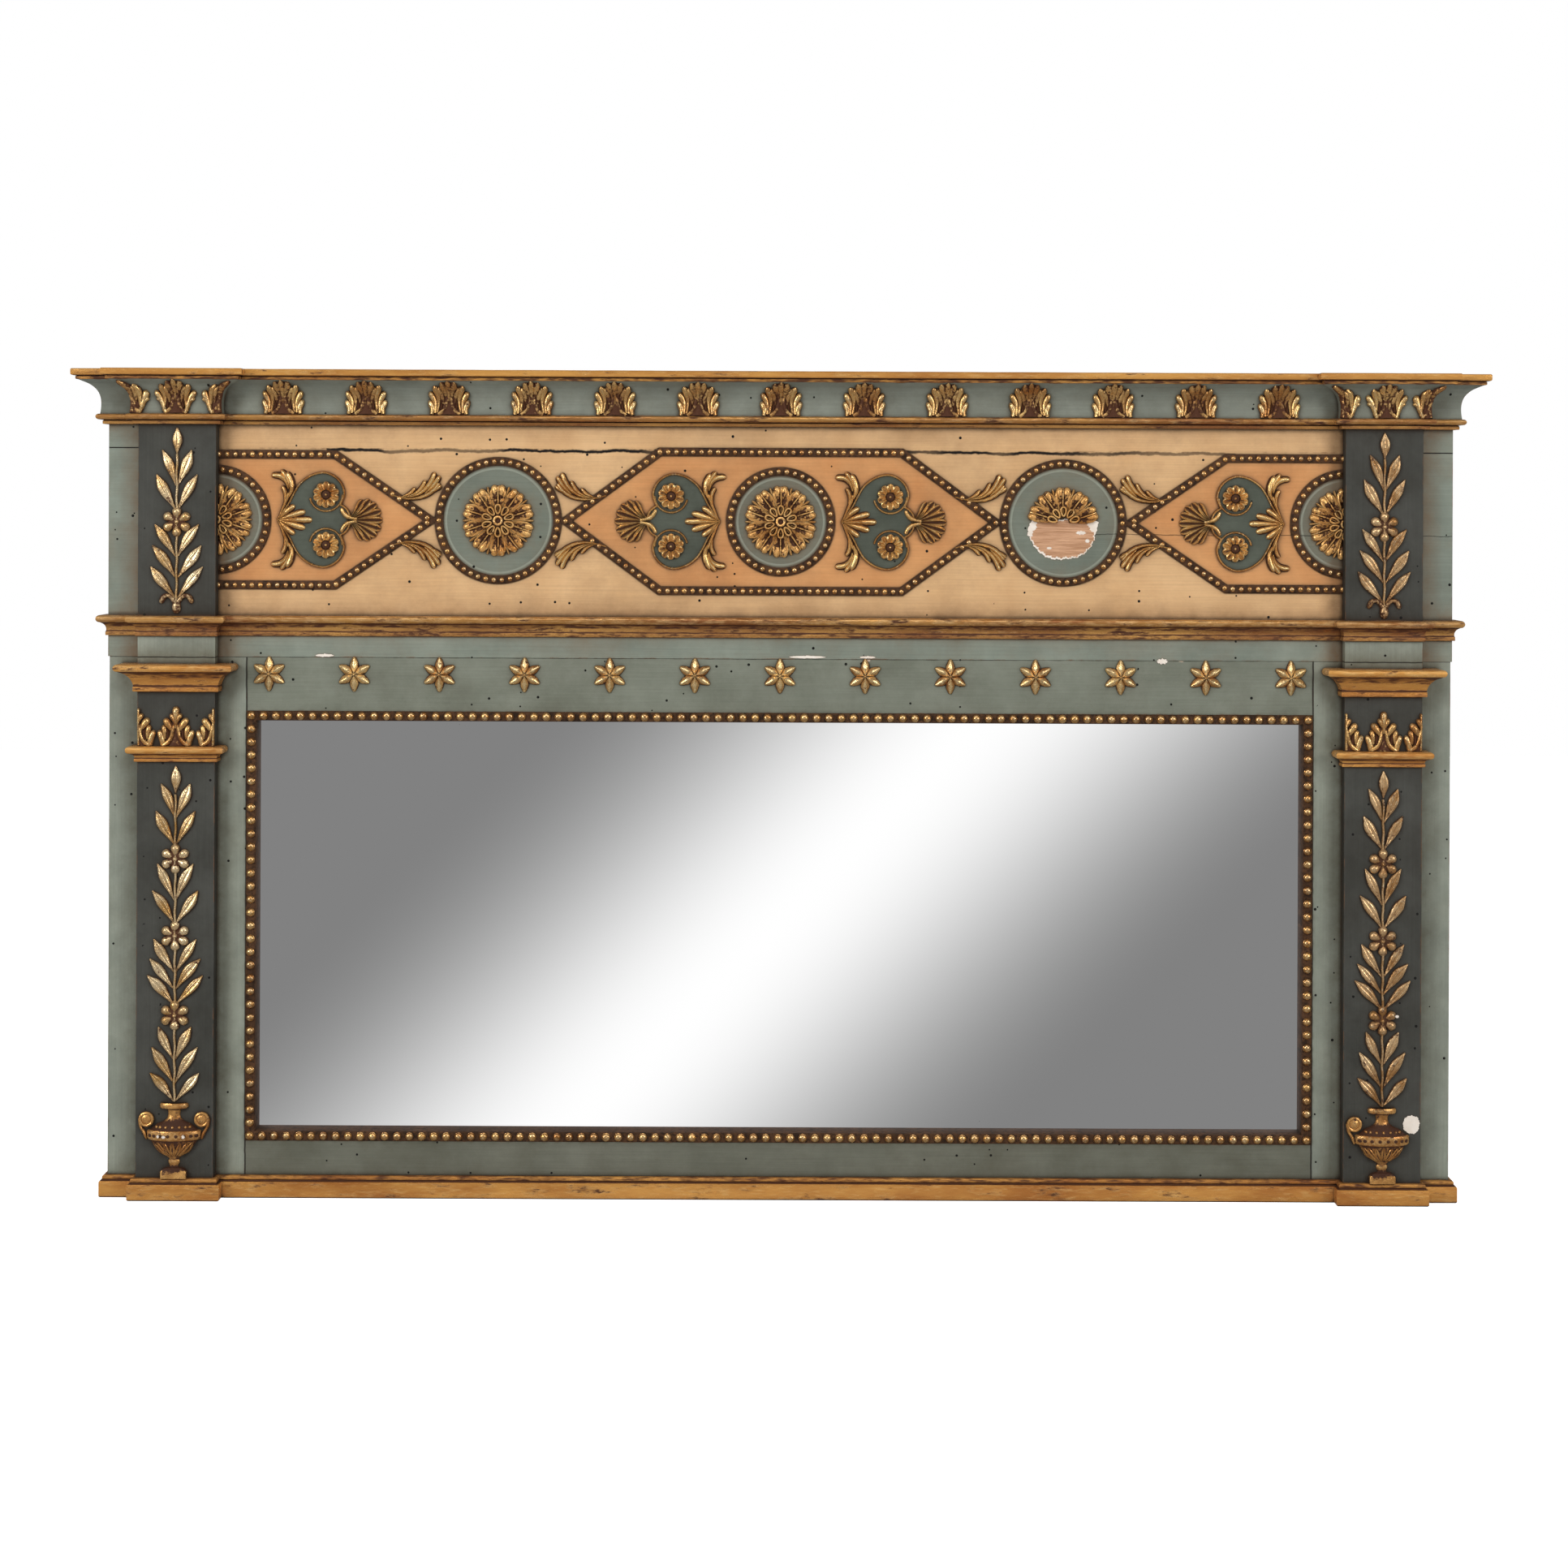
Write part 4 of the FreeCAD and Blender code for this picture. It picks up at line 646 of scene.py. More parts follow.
def in_cove(x, face, corner=0):
    """Ground in the cove's hollow about x; at a corner the line u = 0 follows the mitre."""
    def ground(u, v, h):
        reach = np.interp(v, cove_heights, cove_reaches)
        slope = np.interp(v, cove_heights, cove_slopes)
        length = math.hypot(1, slope)
        return (x + corner * reach + u, face - reach - h / length, cove_bottom + v - h * slope / length)
    return ground


leaf_back = ([(0, 0.4), (0, 18), (0, 33)], [20, 21, 20.5, 19, 16, 12], [2.0, 2.4, 2.6, 2.6, 2.4, 2.0])
leaf_stalk = ([(0, 14), (0, 27), (0, 41.2)], [1.4, 1.8, 3.0, 4.8, 4.4], [3, 4.2, 5, 5.2, 4.2])
leaf_mound = ([(0, 0.4), (0, 6), (0, 13)], [7.5, 5.2, 3, 1], [3.4, 3.2, 2.6, 2])
# Each lobe is its line, its half widths, its heights and how much gold it keeps
cornice_half_leaf = (
    ([(13.5, 0.8), (7, 6), (3.4, 15), (1.4, 25)], [2.8, 3.0, 3.0, 2.6], [3.4, 3.8, 4.2, 4.2],
     (0.6, 0.3, 0.4)),
    ([(3.4, 22), (4.8, 31), (8.6, 39.6)], [1.9, 3.4, 4.6, 4.0], [3.6, 4.8, 5.4, 4.4], (0.35, 0.6)),
    ([(7.4, 14), (8.6, 24), (12.6, 34)], [1.8, 3.0, 3.9, 3.4], [3.6, 4.8, 5.4, 4.2], (0.35, 0.65)),
    ([(14.6, 3), (12.6, 13), (13.4, 25), (17.6, 35.6)], [2.0, 2.2, 3.0, 4.0, 3.7],
     [4.0, 4.8, 5.2, 5.2, 4.2], (0.55, 0.7, 0.9)),
    ([(17.2, 2), (16.6, 12), (18.6, 20), (23.6, 28.6)], [2.0, 2.6, 3.3, 4.0, 3.5],
     [4.2, 5.0, 5.4, 5.2, 4.0], (0.8, 1.05)),
    ([(21.2, 0.6), (20.2, 8), (24.2, 18.4)], [2.5, 3.3, 4.0, 3.4], [4.2, 5.2, 5.4, 4.2], (0.9, 1.2)))
# On the break-fronts the outer lobe springs out in an open curve, with bare ground under it
end_half_leaf = cornice_half_leaf[:4] + (
    ([(12, 0.8), (14.6, 9), (18, 19), (24.4, 28)], [2.4, 2.7, 3.3, 3.9, 3.4], [4.2, 5, 5.4, 5.2, 4.0], 1.1),
    ([(16.4, 13), (19.6, 17), (23.4, 19)], [1.4, 2.3, 2.8, 2.4], [3.6, 4.4, 4.6, 3.6], 1.1))
end_back = ([(0, 0.4), (0, 18), (0, 34)], [13, 13.5, 14.5, 15.5, 14, 11], [2.0, 2.4, 2.6, 2.6, 2.4, 2.0])


def leaf_half(ground, forms):
    return [lobe(ground, spine, widths, heights, LOBE, 8, gold) for spine, widths, heights, gold in forms]


def cornice_leaf(ground, forms=cornice_half_leaf, back=leaf_back):
    shells = [lobe(ground, *back, gold=-0.2), lobe(ground, *leaf_stalk, gold=(0.4, 0.6)),
              lobe(ground, *leaf_mound, gold=0.1)]
    for half in both_ways(ground):
        shells.extend(leaf_half(half, forms))
        # The drilled eye between the lobes, built as a raised lobe kept to dark bole: painted shade for the hole
        shells.append(lobe(half, [(9.6, 7), (9.4, 12), (9.8, 19)], [1.5, 1.7, 1.2, 0.7],
                           [4.9, 5.4, 5.2, 4.6], LOBE, 6, -0.4))
    return shells


end_leaves = []
for sign in (-1, 1):
    end_leaves.extend(cornice_leaf(in_cove(sign * pilaster_x, pilaster_front), end_half_leaf, end_back))
    for edge in (-1, 1):
        corner = in_cove(sign * pilaster_x + edge * (outer_edge - inner_edge) / 2, pilaster_front, edge)
        inward = both_ways(corner)[1 if edge > 0 else 0]
        end_leaves.extend(leaf_half(inward, end_half_leaf))
        end_leaves.append(lobe(inward, [(6.5, 0.4), (6.5, 18), (6.5, 36)], [6, 6.4, 6.8, 6.4, 4.6],
                               [2.2, 2.4, 2.4, 2.2, 1.8], gold=0.2))
        end_leaves.append(lobe(inward, [(2.6, 1), (2.2, 20), (2.6, 38.5)], [2.8, 2.4, 2.6, 2.2],
                               [3.6, 4, 4, 3.2], gold=0.3))
piece("cornice_end_leaves", end_leaves, carved_gilt)

# A tree of nodes sets one carved piece along a line, evenly spaced, as a carver pricks them out
# with dividers; each is realised, so that the leaves, stars and beads are plain meshes.
spacing = bpy.data.node_groups.new("set_along_a_line", "GeometryNodeTree")
for label, kind in (("Line", "Geometry"), ("Piece", "Object"), ("Pitch", "Float"), ("Size jitter", "Float"),
                    ("Seed", "Int"), ("Finish", "Material")):
    spacing.interface.new_socket(label, in_out="INPUT", socket_type="NodeSocket" + kind)
spacing.interface.new_socket("Set", in_out="OUTPUT", socket_type="NodeSocketGeometry")
asked = add(spacing, "NodeGroupInput")
line = add(spacing, "GeometryNodeMeshToCurve", {"Mesh": asked.outputs["Line"]})
pricked = add(spacing, "GeometryNodeResampleCurve", {"Curve": line, "Length": asked.outputs["Pitch"]},
              mode="LENGTH")
marks = add(spacing, "GeometryNodeCurveToPoints", {"Curve": pricked}, mode="EVALUATED")
single = add(spacing, "GeometryNodeMergeByDistance", {"Geometry": marks, "Distance": 1.5 * MM})
model = add(spacing, "GeometryNodeObjectInfo", {"Object": asked.outputs["Piece"]})
smaller = add(spacing, "Math", (1.0, asked.outputs["Size jitter"]), operation="SUBTRACT")
size = add(spacing, "FunctionNodeRandomValue", {"Seed": asked.outputs["Seed"]}, data_type="FLOAT")
feed(spacing, size, {2: smaller, 3: 1.0})
copies = add(spacing, "GeometryNodeInstanceOnPoints",
             {"Points": single, "Instance": model.outputs["Geometry"], "Scale": size.outputs[1]})
solid = add(spacing, "GeometryNodeRealizeInstances", {"Geometry": copies})
finished = add(spacing, "GeometryNodeSetMaterial", {"Geometry": solid, "Material": asked.outputs["Finish"]})
add(spacing, "NodeGroupOutput", {0: finished})
sockets = {item.name: item.identifier for item in spacing.interface.items_tree if item.in_out == "INPUT"}


def set_along(name, lines, shells, pitch, jitter, finish, replaced=()):
    """Sets a carved piece along lines of points in mm; a line that ends where it starts is a ring."""
    model = piece(name + "_model", shells, finish)
    points, edges = [], []
    for way in lines:
        closed = math.dist(way[0], way[-1]) < 0.01
        way = way[:-1] if closed else way
        start = len(points)
        points.extend(tuple(float(c) * MM for c in point) for point in way)
        edges.extend((start + i, start + i + 1) for i in range(len(way) - 1))
        if closed:
            edges.append((start + len(way) - 1, start))
    guide_mesh = bpy.data.meshes.new(name + "_line")
    guide_mesh.from_pydata(points, edges, [])
    guide = set_in_scene(name, guide_mesh)
    layout = guide.modifiers.new("layout", "NODES")
    layout.node_group = spacing
    for label, value in (("Piece", model), ("Pitch", pitch * MM), ("Size jitter", jitter), ("Seed", 7),
                         ("Finish", finish)):
        layout[sockets[label]] = value
    made = bpy.data.meshes.new_from_object(guide.evaluated_get(bpy.context.evaluated_depsgraph_get()))
    guide.modifiers.clear()
    guide.data = made
    made.name = name
    bpy.data.objects.remove(model)
    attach(guide, "mirror")
    if replaced:
        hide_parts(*replaced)
    return guide


leaf_pitch = 102.0
run = leaf_pitch * 6
set_along("cornice_leaves_centre", [[(-run, 0, 0), (run, 0, 0)]], cornice_leaf(in_cove(0, board_front)),
          leaf_pitch, 0,
          carved_gilt, ["cornice_leaves"])

# Stars: carved in pine with a ridge down each of their six arms, gilt, and glued to the rail
# at an even pitch.


def on_face(x, z, face, turn=0.0, flip=1):
    """Ground on a flat face about (x, z), turned by an angle in degrees."""
    c, s = math.cos(math.radians(turn)), math.sin(math.radians(turn))
    return lambda u, v, h: (x + flip * (u * c - v * s), face - h, z + u * s + v * c)


RIDGE = mirrored((1, 0, 0), (0.94, 0.26, 0.2), (0.5, 0.64, 0.8), (0.05, 0.98, 1))
star_line = 644.0
star_pitch = 104.9


def dome(ground, u, v, radius_u, radius_v, height, around=12, rings=4, gold=1.0):
    """A low round boss."""
    points, proud = [], []
    for i in range(rings):
        level = math.pi / 2 * i / rings
        for j in range(around):
            angle = 2 * math.pi * j / around
            points.append(ground(u + radius_u * math.cos(level) * math.cos(angle),
                                 v + radius_v * math.cos(level) * math.sin(angle),
                                 height * math.sin(level) - (SINK if i == 0 else 0)))
            # The gold falls off towards the foot, so each boss is darker round its edge: painted shade
            proud.append(gold * min(1.0, 0.25 + 1.1 * math.sin(level)))
    faces = [list(range(around))[::-1]]
    for i in range(rings - 1):
        for j in range(around):
            k = (j + 1) % around
            faces.append([i * around + j, i * around + k, (i + 1) * around + k, (i + 1) * around + j])
    points.append(ground(u, v, height))
    proud.append(gold)
    top = (rings - 1) * around
    faces.extend([top + j, top + (j + 1) % around, len(points) - 1] for j in range(around))
    return points, faces, proud


star = [lobe(on_face(0, star_line, board_front, 60 * i), [(0, 0.5), (0, 11), (0, 21.6)],
             [1.6, 3.5, 5.4, 5.8, 5.0, 3.5, 1.5],
             [6.4, 6.6, 6.4, 5.8, 4.8, 3.6, 2.4], RIDGE, gold=1.25) for i in range(6)]
star.append(dome(on_face(0, star_line, board_front), 0, 0, 2.6, 2.6, 7.4, 10, 3, 0.8))
run = star_pitch * 6
set_along("stars_on_rail", [[(-run, 0, 0), (run, 0, 0)]], star, star_pitch, 0, carved_gilt,
          ["stars"])

# Capital leaves: carved and gilt acanthus, glued to the capital blocks, one leaf on the front
# of each and a half leaf at each edge.
block_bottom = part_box("left_capital_block")[0].z / MM
capital_stalk = ([(0, 22), (0, 36), (0, 48.8)], [2.0, 2.6, 3.4, 4.6, 4.0], [4.4, 5, 5.6, 5.6, 4.6])
capital_mound = ([(0, 0.4), (0, 7), (0, 15)], [8.5, 6, 3.4, 1.2], [3.2, 3.2, 2.8, 2])
capital_back = ([(0, 0.4), (0, 15), (0, 31)], [16, 17, 17, 15, 11, 6], [1.8, 2.2, 2.4, 2.4, 2.2, 1.8])
capital_half_leaf = (
    ([(15.5, 0.8), (9, 5.5), (4.6, 14), (2.2, 27)], [3.4, 3.2, 2.8, 2.2], [4.4, 5, 5.2, 4.8],
     (1.0, 0.7, 0.6)),
    ([(1.2, 29), (3.6, 35), (6.6, 39.8)], [1.8, 2.9, 3.2, 2.7], [4, 5, 5.2, 4.2], (0.5, 1.0)),
    ([(5, 20), (9, 27), (14.4, 34)], [2.6, 4.2, 4.6, 3.6], [4.2, 5.2, 5.4, 4.2], (0.5, 1.0)),
    ([(13.2, 9), (13.2, 17), (15.4, 26)], [2.4, 3.2, 3.6, 3.0], [4.2, 4.8, 5, 3.8], (0.5, 0.9)),
    ([(15.6, 1), (16.8, 9), (20.8, 19.6)], [3.2, 4.0, 4.2, 3.2], [4.2, 5, 5.2, 4], (0.9, 1.15)))
# The eye: a raised lobe kept to dark bole, painted shade for the drilled hole
capital_eye = ([(9.4, 8), (9.2, 14), (10, 21)], [1.5, 2.0, 1.7, 0.8], [4.9, 5.5, 5.3, 4.6])
capital_leaves = []
for sign in (-1, 1):
    ground = on_face(sign * pilaster_x, block_bottom, pilaster_front)
    capital_leaves.append(lobe(ground, *capital_back, gold=-0.2))
    capital_leaves.append(lobe(ground, *capital_mound, gold=0.25))
    capital_leaves.append(lobe(ground, *capital_stalk))
    for half in both_ways(ground):
        capital_leaves.extend(leaf_half(half, capital_half_leaf))
        capital_leaves.append(lobe(half, *capital_eye, gold=-0.4))
    for edge in (-1, 1):
        corner = on_face(sign * pilaster_x + edge * (outer_edge - inner_edge) / 2, block_bottom,
                         pilaster_front)
        inward = both_ways(corner)[1 if edge > 0 else 0]
        capital_leaves.extend(leaf_half(inward, capital_half_leaf))
        capital_leaves.append(lobe(inward, *capital_eye, gold=-0.4))
        capital_leaves.append(lobe(inward, [(7, 0.4), (6.4, 14), (5, 28)], [6.4, 6, 5.4, 3.6],
                                   [2, 2.2, 2.2, 1.8], gold=0.2))
        capital_leaves.append(lobe(inward, [(1.9, 1), (1.7, 24), (1.7, 46.5)], [1.7, 1.6, 1.6, 1.5],
                                   [3.4, 4.4, 4.8, 4.2]))
piece("capital_acanthus", capital_leaves, carved_gilt, ["capital_leaves"])

# Laurel branches: each leaf and flower is carved in pine, glued to the pilaster and gilt.
# The stems are laid in between them.
laurel_gilt = gilding("water_gilding_on_laurel_leaves", "#ead0a4", "#c09355", "#4f2f1c", 2.6, 0.7, 0.75)
browned_laurel = gilding("water_gilding_on_laurel_leaves_browned", "#dcb98a", "#a87a49", "#4a2d1a", 2.6,
                         0.76, 0.7, "#ecd6b0")


def wire(ground, points, radius, height, closed=False, around=6, rope=0.0):
    """A round rod bent along a line, lying at a height over its ground; rope makes it swell and narrow."""
    line = np.array(points, float)
    ways = np.roll(line, -1, 0) - np.roll(line, 1, 0) if closed else np.gradient(line, axis=0)
    ways /= np.linalg.norm(ways, axis=1)[:, None]
    shell, proud = [], []
    for i, ((u, v), (du, dv)) in enumerate(zip(line, ways)):
        r = radius * (1 + rope * (1 if i % 2 else -1))
        for j in range(around):
            angle = 2 * math.pi * j / around
            s, h = r * math.cos(angle), r * math.sin(angle)
            shell.append(ground(u - dv * s, v + du * s, height + h))
            proud.append(0.66 + 0.26 * math.sin(angle))
    return shell, tube_faces(len(line), around, closed), proud


laurel_widths = [0.6, 1.6, 3.3, 5.1, 6.1, 6.0, 4.7, 2.5, 0.5]
laurel_heights = [1.8, 2.4, 3.2, 3.9, 4.2, 4.0, 3.4, 2.6, 1.6]
# The blade's section carries a groove for the rib and two veins on each side
BLADE = [(-1, 0, 0), (-0.95, 0.6, 0.5), (-0.78, 0.88, 1.1), (-0.62, 0.86, 0.55), (-0.46, 1, 1.15),
         (-0.28, 0.9, 0.6), (-0.07, 0.8, 0.85),
         (0.07, 0.8, 0.5), (0.28, 0.98, 1.15), (0.46, 0.9, 0.6), (0.62, 0.94, 1.1), (0.78, 0.84, 0.6),
         (0.95, 0.6, 0.5), (1, 0, 0)]
upper_top_leaf = (946.5, 914.0)
upper_pairs = ((919.0, 878.0, 18.0), (889.0, 848.0, 25.0), (828.0, 791.0, 27.0),
               (802.0, 765.0, 30.0), (776.0, 740.0, 32.0))
lower_top_leaf = (532.0, 498.5)
lower_pairs = ((510.0, 471.5, 18.0), (476.5, 438.0, 24.0), (412.0, 370.0, 22.0),
               (379.0, 341.5, 28.0), (319.5, 282.0, 26.0), (295.5, 261.0, 31.0),
               (275.0, 242.0, 34.0), (212.0, 174.5, 20.0), (187.0, 146.5, 28.0), (155.5, 124.0, 30.0))


def turned_about(ground, height, turn):
    """The same ground, turned by an angle in degrees about a height on its axis."""
    c, s = math.cos(math.radians(turn)), math.sin(math.radians(turn))
    return lambda u, v, h: ground(u * c - v * s, height + u * s + v * c, h)


def laurel(ground, top_leaf, pairs, flowers, foot):
    """A stem with its leaves, each a little different from the next, and its flowers."""
    shells = [lobe(ground, [(0, top_leaf[1]), (0.6, (top_leaf[0] + top_leaf[1]) / 2), (0, top_leaf[0])],
                   laurel_widths, laurel_heights, BLADE, 12, (0.6, 1.0, 1.0))]
    stem = [(0.5 * math.sin(z * 0.21), z) for z in np.arange(foot, top_leaf[1] + 2, 4.0)]
    shells.append(wire(ground, stem, 1.5, 1.2))
    for i, (tip, base, spread) in enumerate(pairs):
        for side in (-1, 1):
            bend = 1.6 * math.sin(2.1 * i + side)
            middle = (side * (spread * 0.56 + bend), (base + tip) / 2 + 1.5)
            plump = 1 + 0.08 * math.sin(3.7 * i + 2 * side)
            shells.append(lobe(ground, [(side * 0.8, base - 3), middle, (side * spread, tip)],
                               [w * plump for w in laurel_widths], laurel_heights, BLADE, 12,
                               (0.55, 1.0, 1.0)))
    for height in flowers:
        shells.append(dome(ground, 0, height, 11.5, 11.5, 2.6, 14, 3, -0.3))
        for i in range(6):
            petal = turned_about(ground, height, 60 * i)
            shells.append(lobe(petal, [(0, 4.6), (0, 11), (0, 18.4)], [1.9, 3.8, 5.5, 6.1, 5.6],
                               [3.0, 4.4, 5.6, 5.8, 4.8],
                               LOBE, 8, (0.35, 0.8, 0.95)))
        shells.append(dome(ground, 0, height, 3.2, 3.2, 6.0, 10, 4, 0.75))
    return shells


for side, sign, finish in (("left", -1, laurel_gilt), ("right", 1, browned_laurel)):
    ground = on_face(sign * pilaster_x, 0, pilaster_front)
    branches = laurel(ground, upper_top_leaf, upper_pairs, (831.0,), 730.0)
    for half in both_ways(ground):
        branches.append(lobe(half, [(2, 733), (8, 740), (15, 739.5), (19.5, 731)],
                             [3.0, 2.8, 2.6, 3.4, 2.8],
                             [3.6, 4, 4, 4.4, 3.8], gold=0.45))
    branches.append(dome(ground, 0, 726.5, 5.6, 8.6, 5.4, gold=0.45))
    branches.extend(laurel(ground, lower_top_leaf, lower_pairs, (418.0, 323.5, 226.0), 121.0))
    piece(side + "_laurels", branches, finish,
          ["upper_laurel_branches", "lower_laurel_branches"] if sign < 0 else [])

# Urns: turned, split in half and flattened, with gadroons on the bowl, a beaded shoulder and two
# scrolled handles. The right urn has lost its right handle, down to the gesso.
urn_foot = 27.0
urn_gilt = gilding("water_gilding_on_urns", "#e0ab66", "#a8703c", "#43281a", 4.0, 0.72, 0.65, "#e9bf82",
                   0.9)
# Half width, height over the foot and gold of each turn of the profile
urn_profile = ((6.2, 13, 0.2), (5.4, 14.6, 0.2), (5.6, 17, 0.5), (6.9, 18.6, 1), (7.0, 21.6, 1),
               (5.8, 23.2, 0.3), (6.6, 25.2, 0.5),
               (12, 28.6, 0.3), (18.6, 33.5, 0.35), (24, 39.5, 0.35), (27.6, 45.4, 0.35), (28.6, 47, 0.1),
               (31.6, 48, 0.9),
               (33, 49.4, 1), (33.4, 57.6, 1), (32.2, 59, 0.8), (29, 59.8, 0.1), (26, 62.4, 0.1),
               (21, 66.4, 0.1), (13, 69.8, 0.15),
               (8.4, 73.2, 0.5), (7.1, 78, 0.8), (7.6, 83, 0.6), (9.4, 84.8, 0.1), (16.2, 85.8, 0.8),
               (17.4, 87.4, 1), (17.4, 90.4, 1),
               (16, 92, 0.7), (9, 91.2, 0.2))


def urn(ground, handles):
    steps = 33
    points, proud = [], []
    for reach, up, gold in urn_profile:
        for i in range(steps):
            angle = math.pi * i / (steps - 1)
            points.append(ground(reach * math.cos(angle), up,
                                 0.42 * reach * math.sin(angle) + 0.6 * math.sin(angle)))
            proud.append(gold)
    shells = [(points, tube_faces(len(urn_profile), steps, False), proud)]
    block = [(15.6, 0), (15.6, 8.6), (13, 11.6), (9, 13.4), (-9, 13.4), (-13, 11.6), (-15.6, 8.6),
             (-15.6, 0)]
    slab = [ground(u, v, -SINK) for u, v in block] + [ground(u, v, 7.2) for u, v in block]
    slab += [ground(u * 0.9, 0.5 + v * 0.9, 8.2) for u, v in block]
    shells.append((slab, tube_faces(3, len(block), False),
                   [0.1] * 8 + [0.8 if v < 9 else 0.1 for u, v in block] * 2))

    def on_belly(reach):
        """Ground that follows the round of the belly at a half width."""
        return lambda u, v, h: ground(u, v, h + 0.42 * math.sqrt(max(0.0, reach * reach - u * u)))

    def cling(u, v, h):
        """Ground that follows the bowl, which widens as it rises."""
        reach = np.interp(v, [27, 28.6, 33.5, 39.5, 46], [9, 12, 18.6, 24, 28])
        return ground(u, v, h + 0.42 * math.sqrt(max(0.0, reach ** 2 - u * u)) - 0.2)

    # Seven pointed leaves stand round the bowl, with dark drops between them
    for i in range(7):
        lean = math.sin(math.radians(-66 + 22 * i))
        bowl = [(8 * lean, 28), (19 * lean, 35.5), (26.5 * lean, 45)]
        shells.append(lobe(cling, bowl, [1.4, 2.8, 3.6, 2.8, 0.8], [2.0, 2.8, 3.0, 2.6, 2.0], VEINED, 8,
                           0.9))
    for i in range(7):
        u = 22.5 * math.sin(math.radians(-66 + 22 * i))
        shells.append(dome(on_belly(24.4), u, 63.6, 2.0, 2.0, 2.6, 8, 3))
    for i in range(8):
        u = 32 * math.sin(math.radians(-63 + 18 * i))
        shells.append(dome(on_belly(33.6), u, 53.4, 2.6, 2.4, 1.0, 8, 3, 0.0))
    for side in handles:
        turned = ground if side > 0 else both_ways(ground)[1]
        scroll = [(34 + 7.6 * math.cos(t), 72 + 7.6 * math.sin(t)) for t in np.linspace(0, 2 * math.pi,
                                                                                        19)[:-1]]
        shells.append(dome(turned, 34, 72, 8.2, 8.2, 4.2, 16, 4, 0.9))
        shells.append(wire(turned, scroll, 1.9, 2.4, True, 8))
        shells.append(lobe(turned, [(42.2, 73), (40.8, 63), (36.4, 55.5), (33.4, 47.5)],
                           [2.2, 2.1, 1.9, 2.2, 1.4], [4.2, 4, 4, 4, 2.8],
                           gold=0.7))
    return shells


urns = urn(on_face(-pilaster_x, urn_foot, pilaster_front),
           (-1, 1)) + urn(on_face(pilaster_x, urn_foot, pilaster_front), (-1,))
piece("relief_urns", urns, urn_gilt, ["urns"])

# Bead strips round the plate: a bar of pine in the rebate, bole brown, with a row of gilt beads
# carved on it.
strip_gilt = gilding("bole_brown_strip_with_worn_gold", "#573a24", "#422a16", "#2b1a0c", 5.0, 0.9, 0.1,
                     "#6a482c", polish=0.62)
bead_gilt = gilding("water_gilding_on_beads", "#d6a564", "#a06c3a", "#3f2412", 2.2, 0.5, 0.85, "#f0d4a4",
                    0.8)
strip_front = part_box("bead_strip_top")[0].y / MM + 4.7
opening_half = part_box("bead_strip_top")[1].x / MM
opening_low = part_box("bead_strip_bottom")[0].z / MM
opening_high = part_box("bead_strip_top")[1].z / MM
strip_width = 12.0
strip_section = [(0, 18), (0, 0.6), (0.6, 0), (10.8, 0), (11.6, 0.5), (12, 1.4), (12, 18)]
frame_ring = []
for ex, ez in ((-1, -1), (1, -1), (1, 1), (-1, 1)):
    for inset_by, depth in strip_section:
        z = opening_low + inset_by if ez < 0 else opening_high - inset_by
        frame_ring.append((ex * (opening_half - inset_by), strip_front + depth, z))
piece("bead_strips", [(frame_ring, tube_faces(4, len(strip_section), True), [0.6] * len(frame_ring))],
      strip_gilt,
      ["bead_strip_top", "bead_strip_bottom", "bead_strip_left", "bead_strip_right"])
bead_x = opening_half - strip_width / 2
bead_low = opening_low + strip_width / 2
bead_high = opening_high - strip_width / 2
bead = [dome(on_face(0, 0, 0), 0, 0, 5.5, 5.5, 4.65, 12, 5)]
rows = [[(-bead_x, strip_front, z), (bead_x, strip_front, z)] for z in (bead_low, bead_high)]
set_along("plate_beads_level", rows, bead, 2 * bead_x / 86, 0.08, bead_gilt)
gap = (bead_high - bead_low) / 32
rows = [[(x, strip_front, bead_low + gap), (x, strip_front, bead_high - gap)] for x in (-bead_x, bead_x)]
set_along("plate_beads_upright", rows, bead, gap, 0.08, bead_gilt)

# Panel borders and medallion rings: flat pine strips, bole brown, glued on the frieze, each with
# a row of small gilt beads.
strip_half = 5.4
border_section = [(-1, -SINK), (-0.94, 1.4), (-0.75, 2.0), (0.75, 2.0), (0.94, 1.4), (1, -SINK)]


def flat_strip(points, closed):
    """A strip along corner points (x, height over the frieze line), mitred at its corners."""
    ground = on_face(0, frieze_line, board_front)
    line = np.array(points, float)
    count = len(line)
    shell = []
    for i in range(count):
        before = line[i] - line[i - 1] if closed or i else line[1] - line[0]
        after = line[(i + 1) % count] - line[i] if closed or i < count - 1 else before
        before, after = before / np.linalg.norm(before), after / np.linalg.norm(after)
        turn = before + after
        turn = turn / (turn @ before)
        shell.extend(ground(line[i][0] - turn[1] * s * strip_half, line[i][1] + turn[0] * s * strip_half, h)
                     for s, h in border_section)
    return shell, tube_faces(count, len(border_section), closed), [0.6] * len(shell)


def circle(x, radius, start=0.0, sweep=360.0, count=72):
    return [(x + radius * math.cos(math.radians(start + sweep * i / count)),
             radius * math.sin(math.radians(start + sweep * i / count))) for i in range(count + 1)]


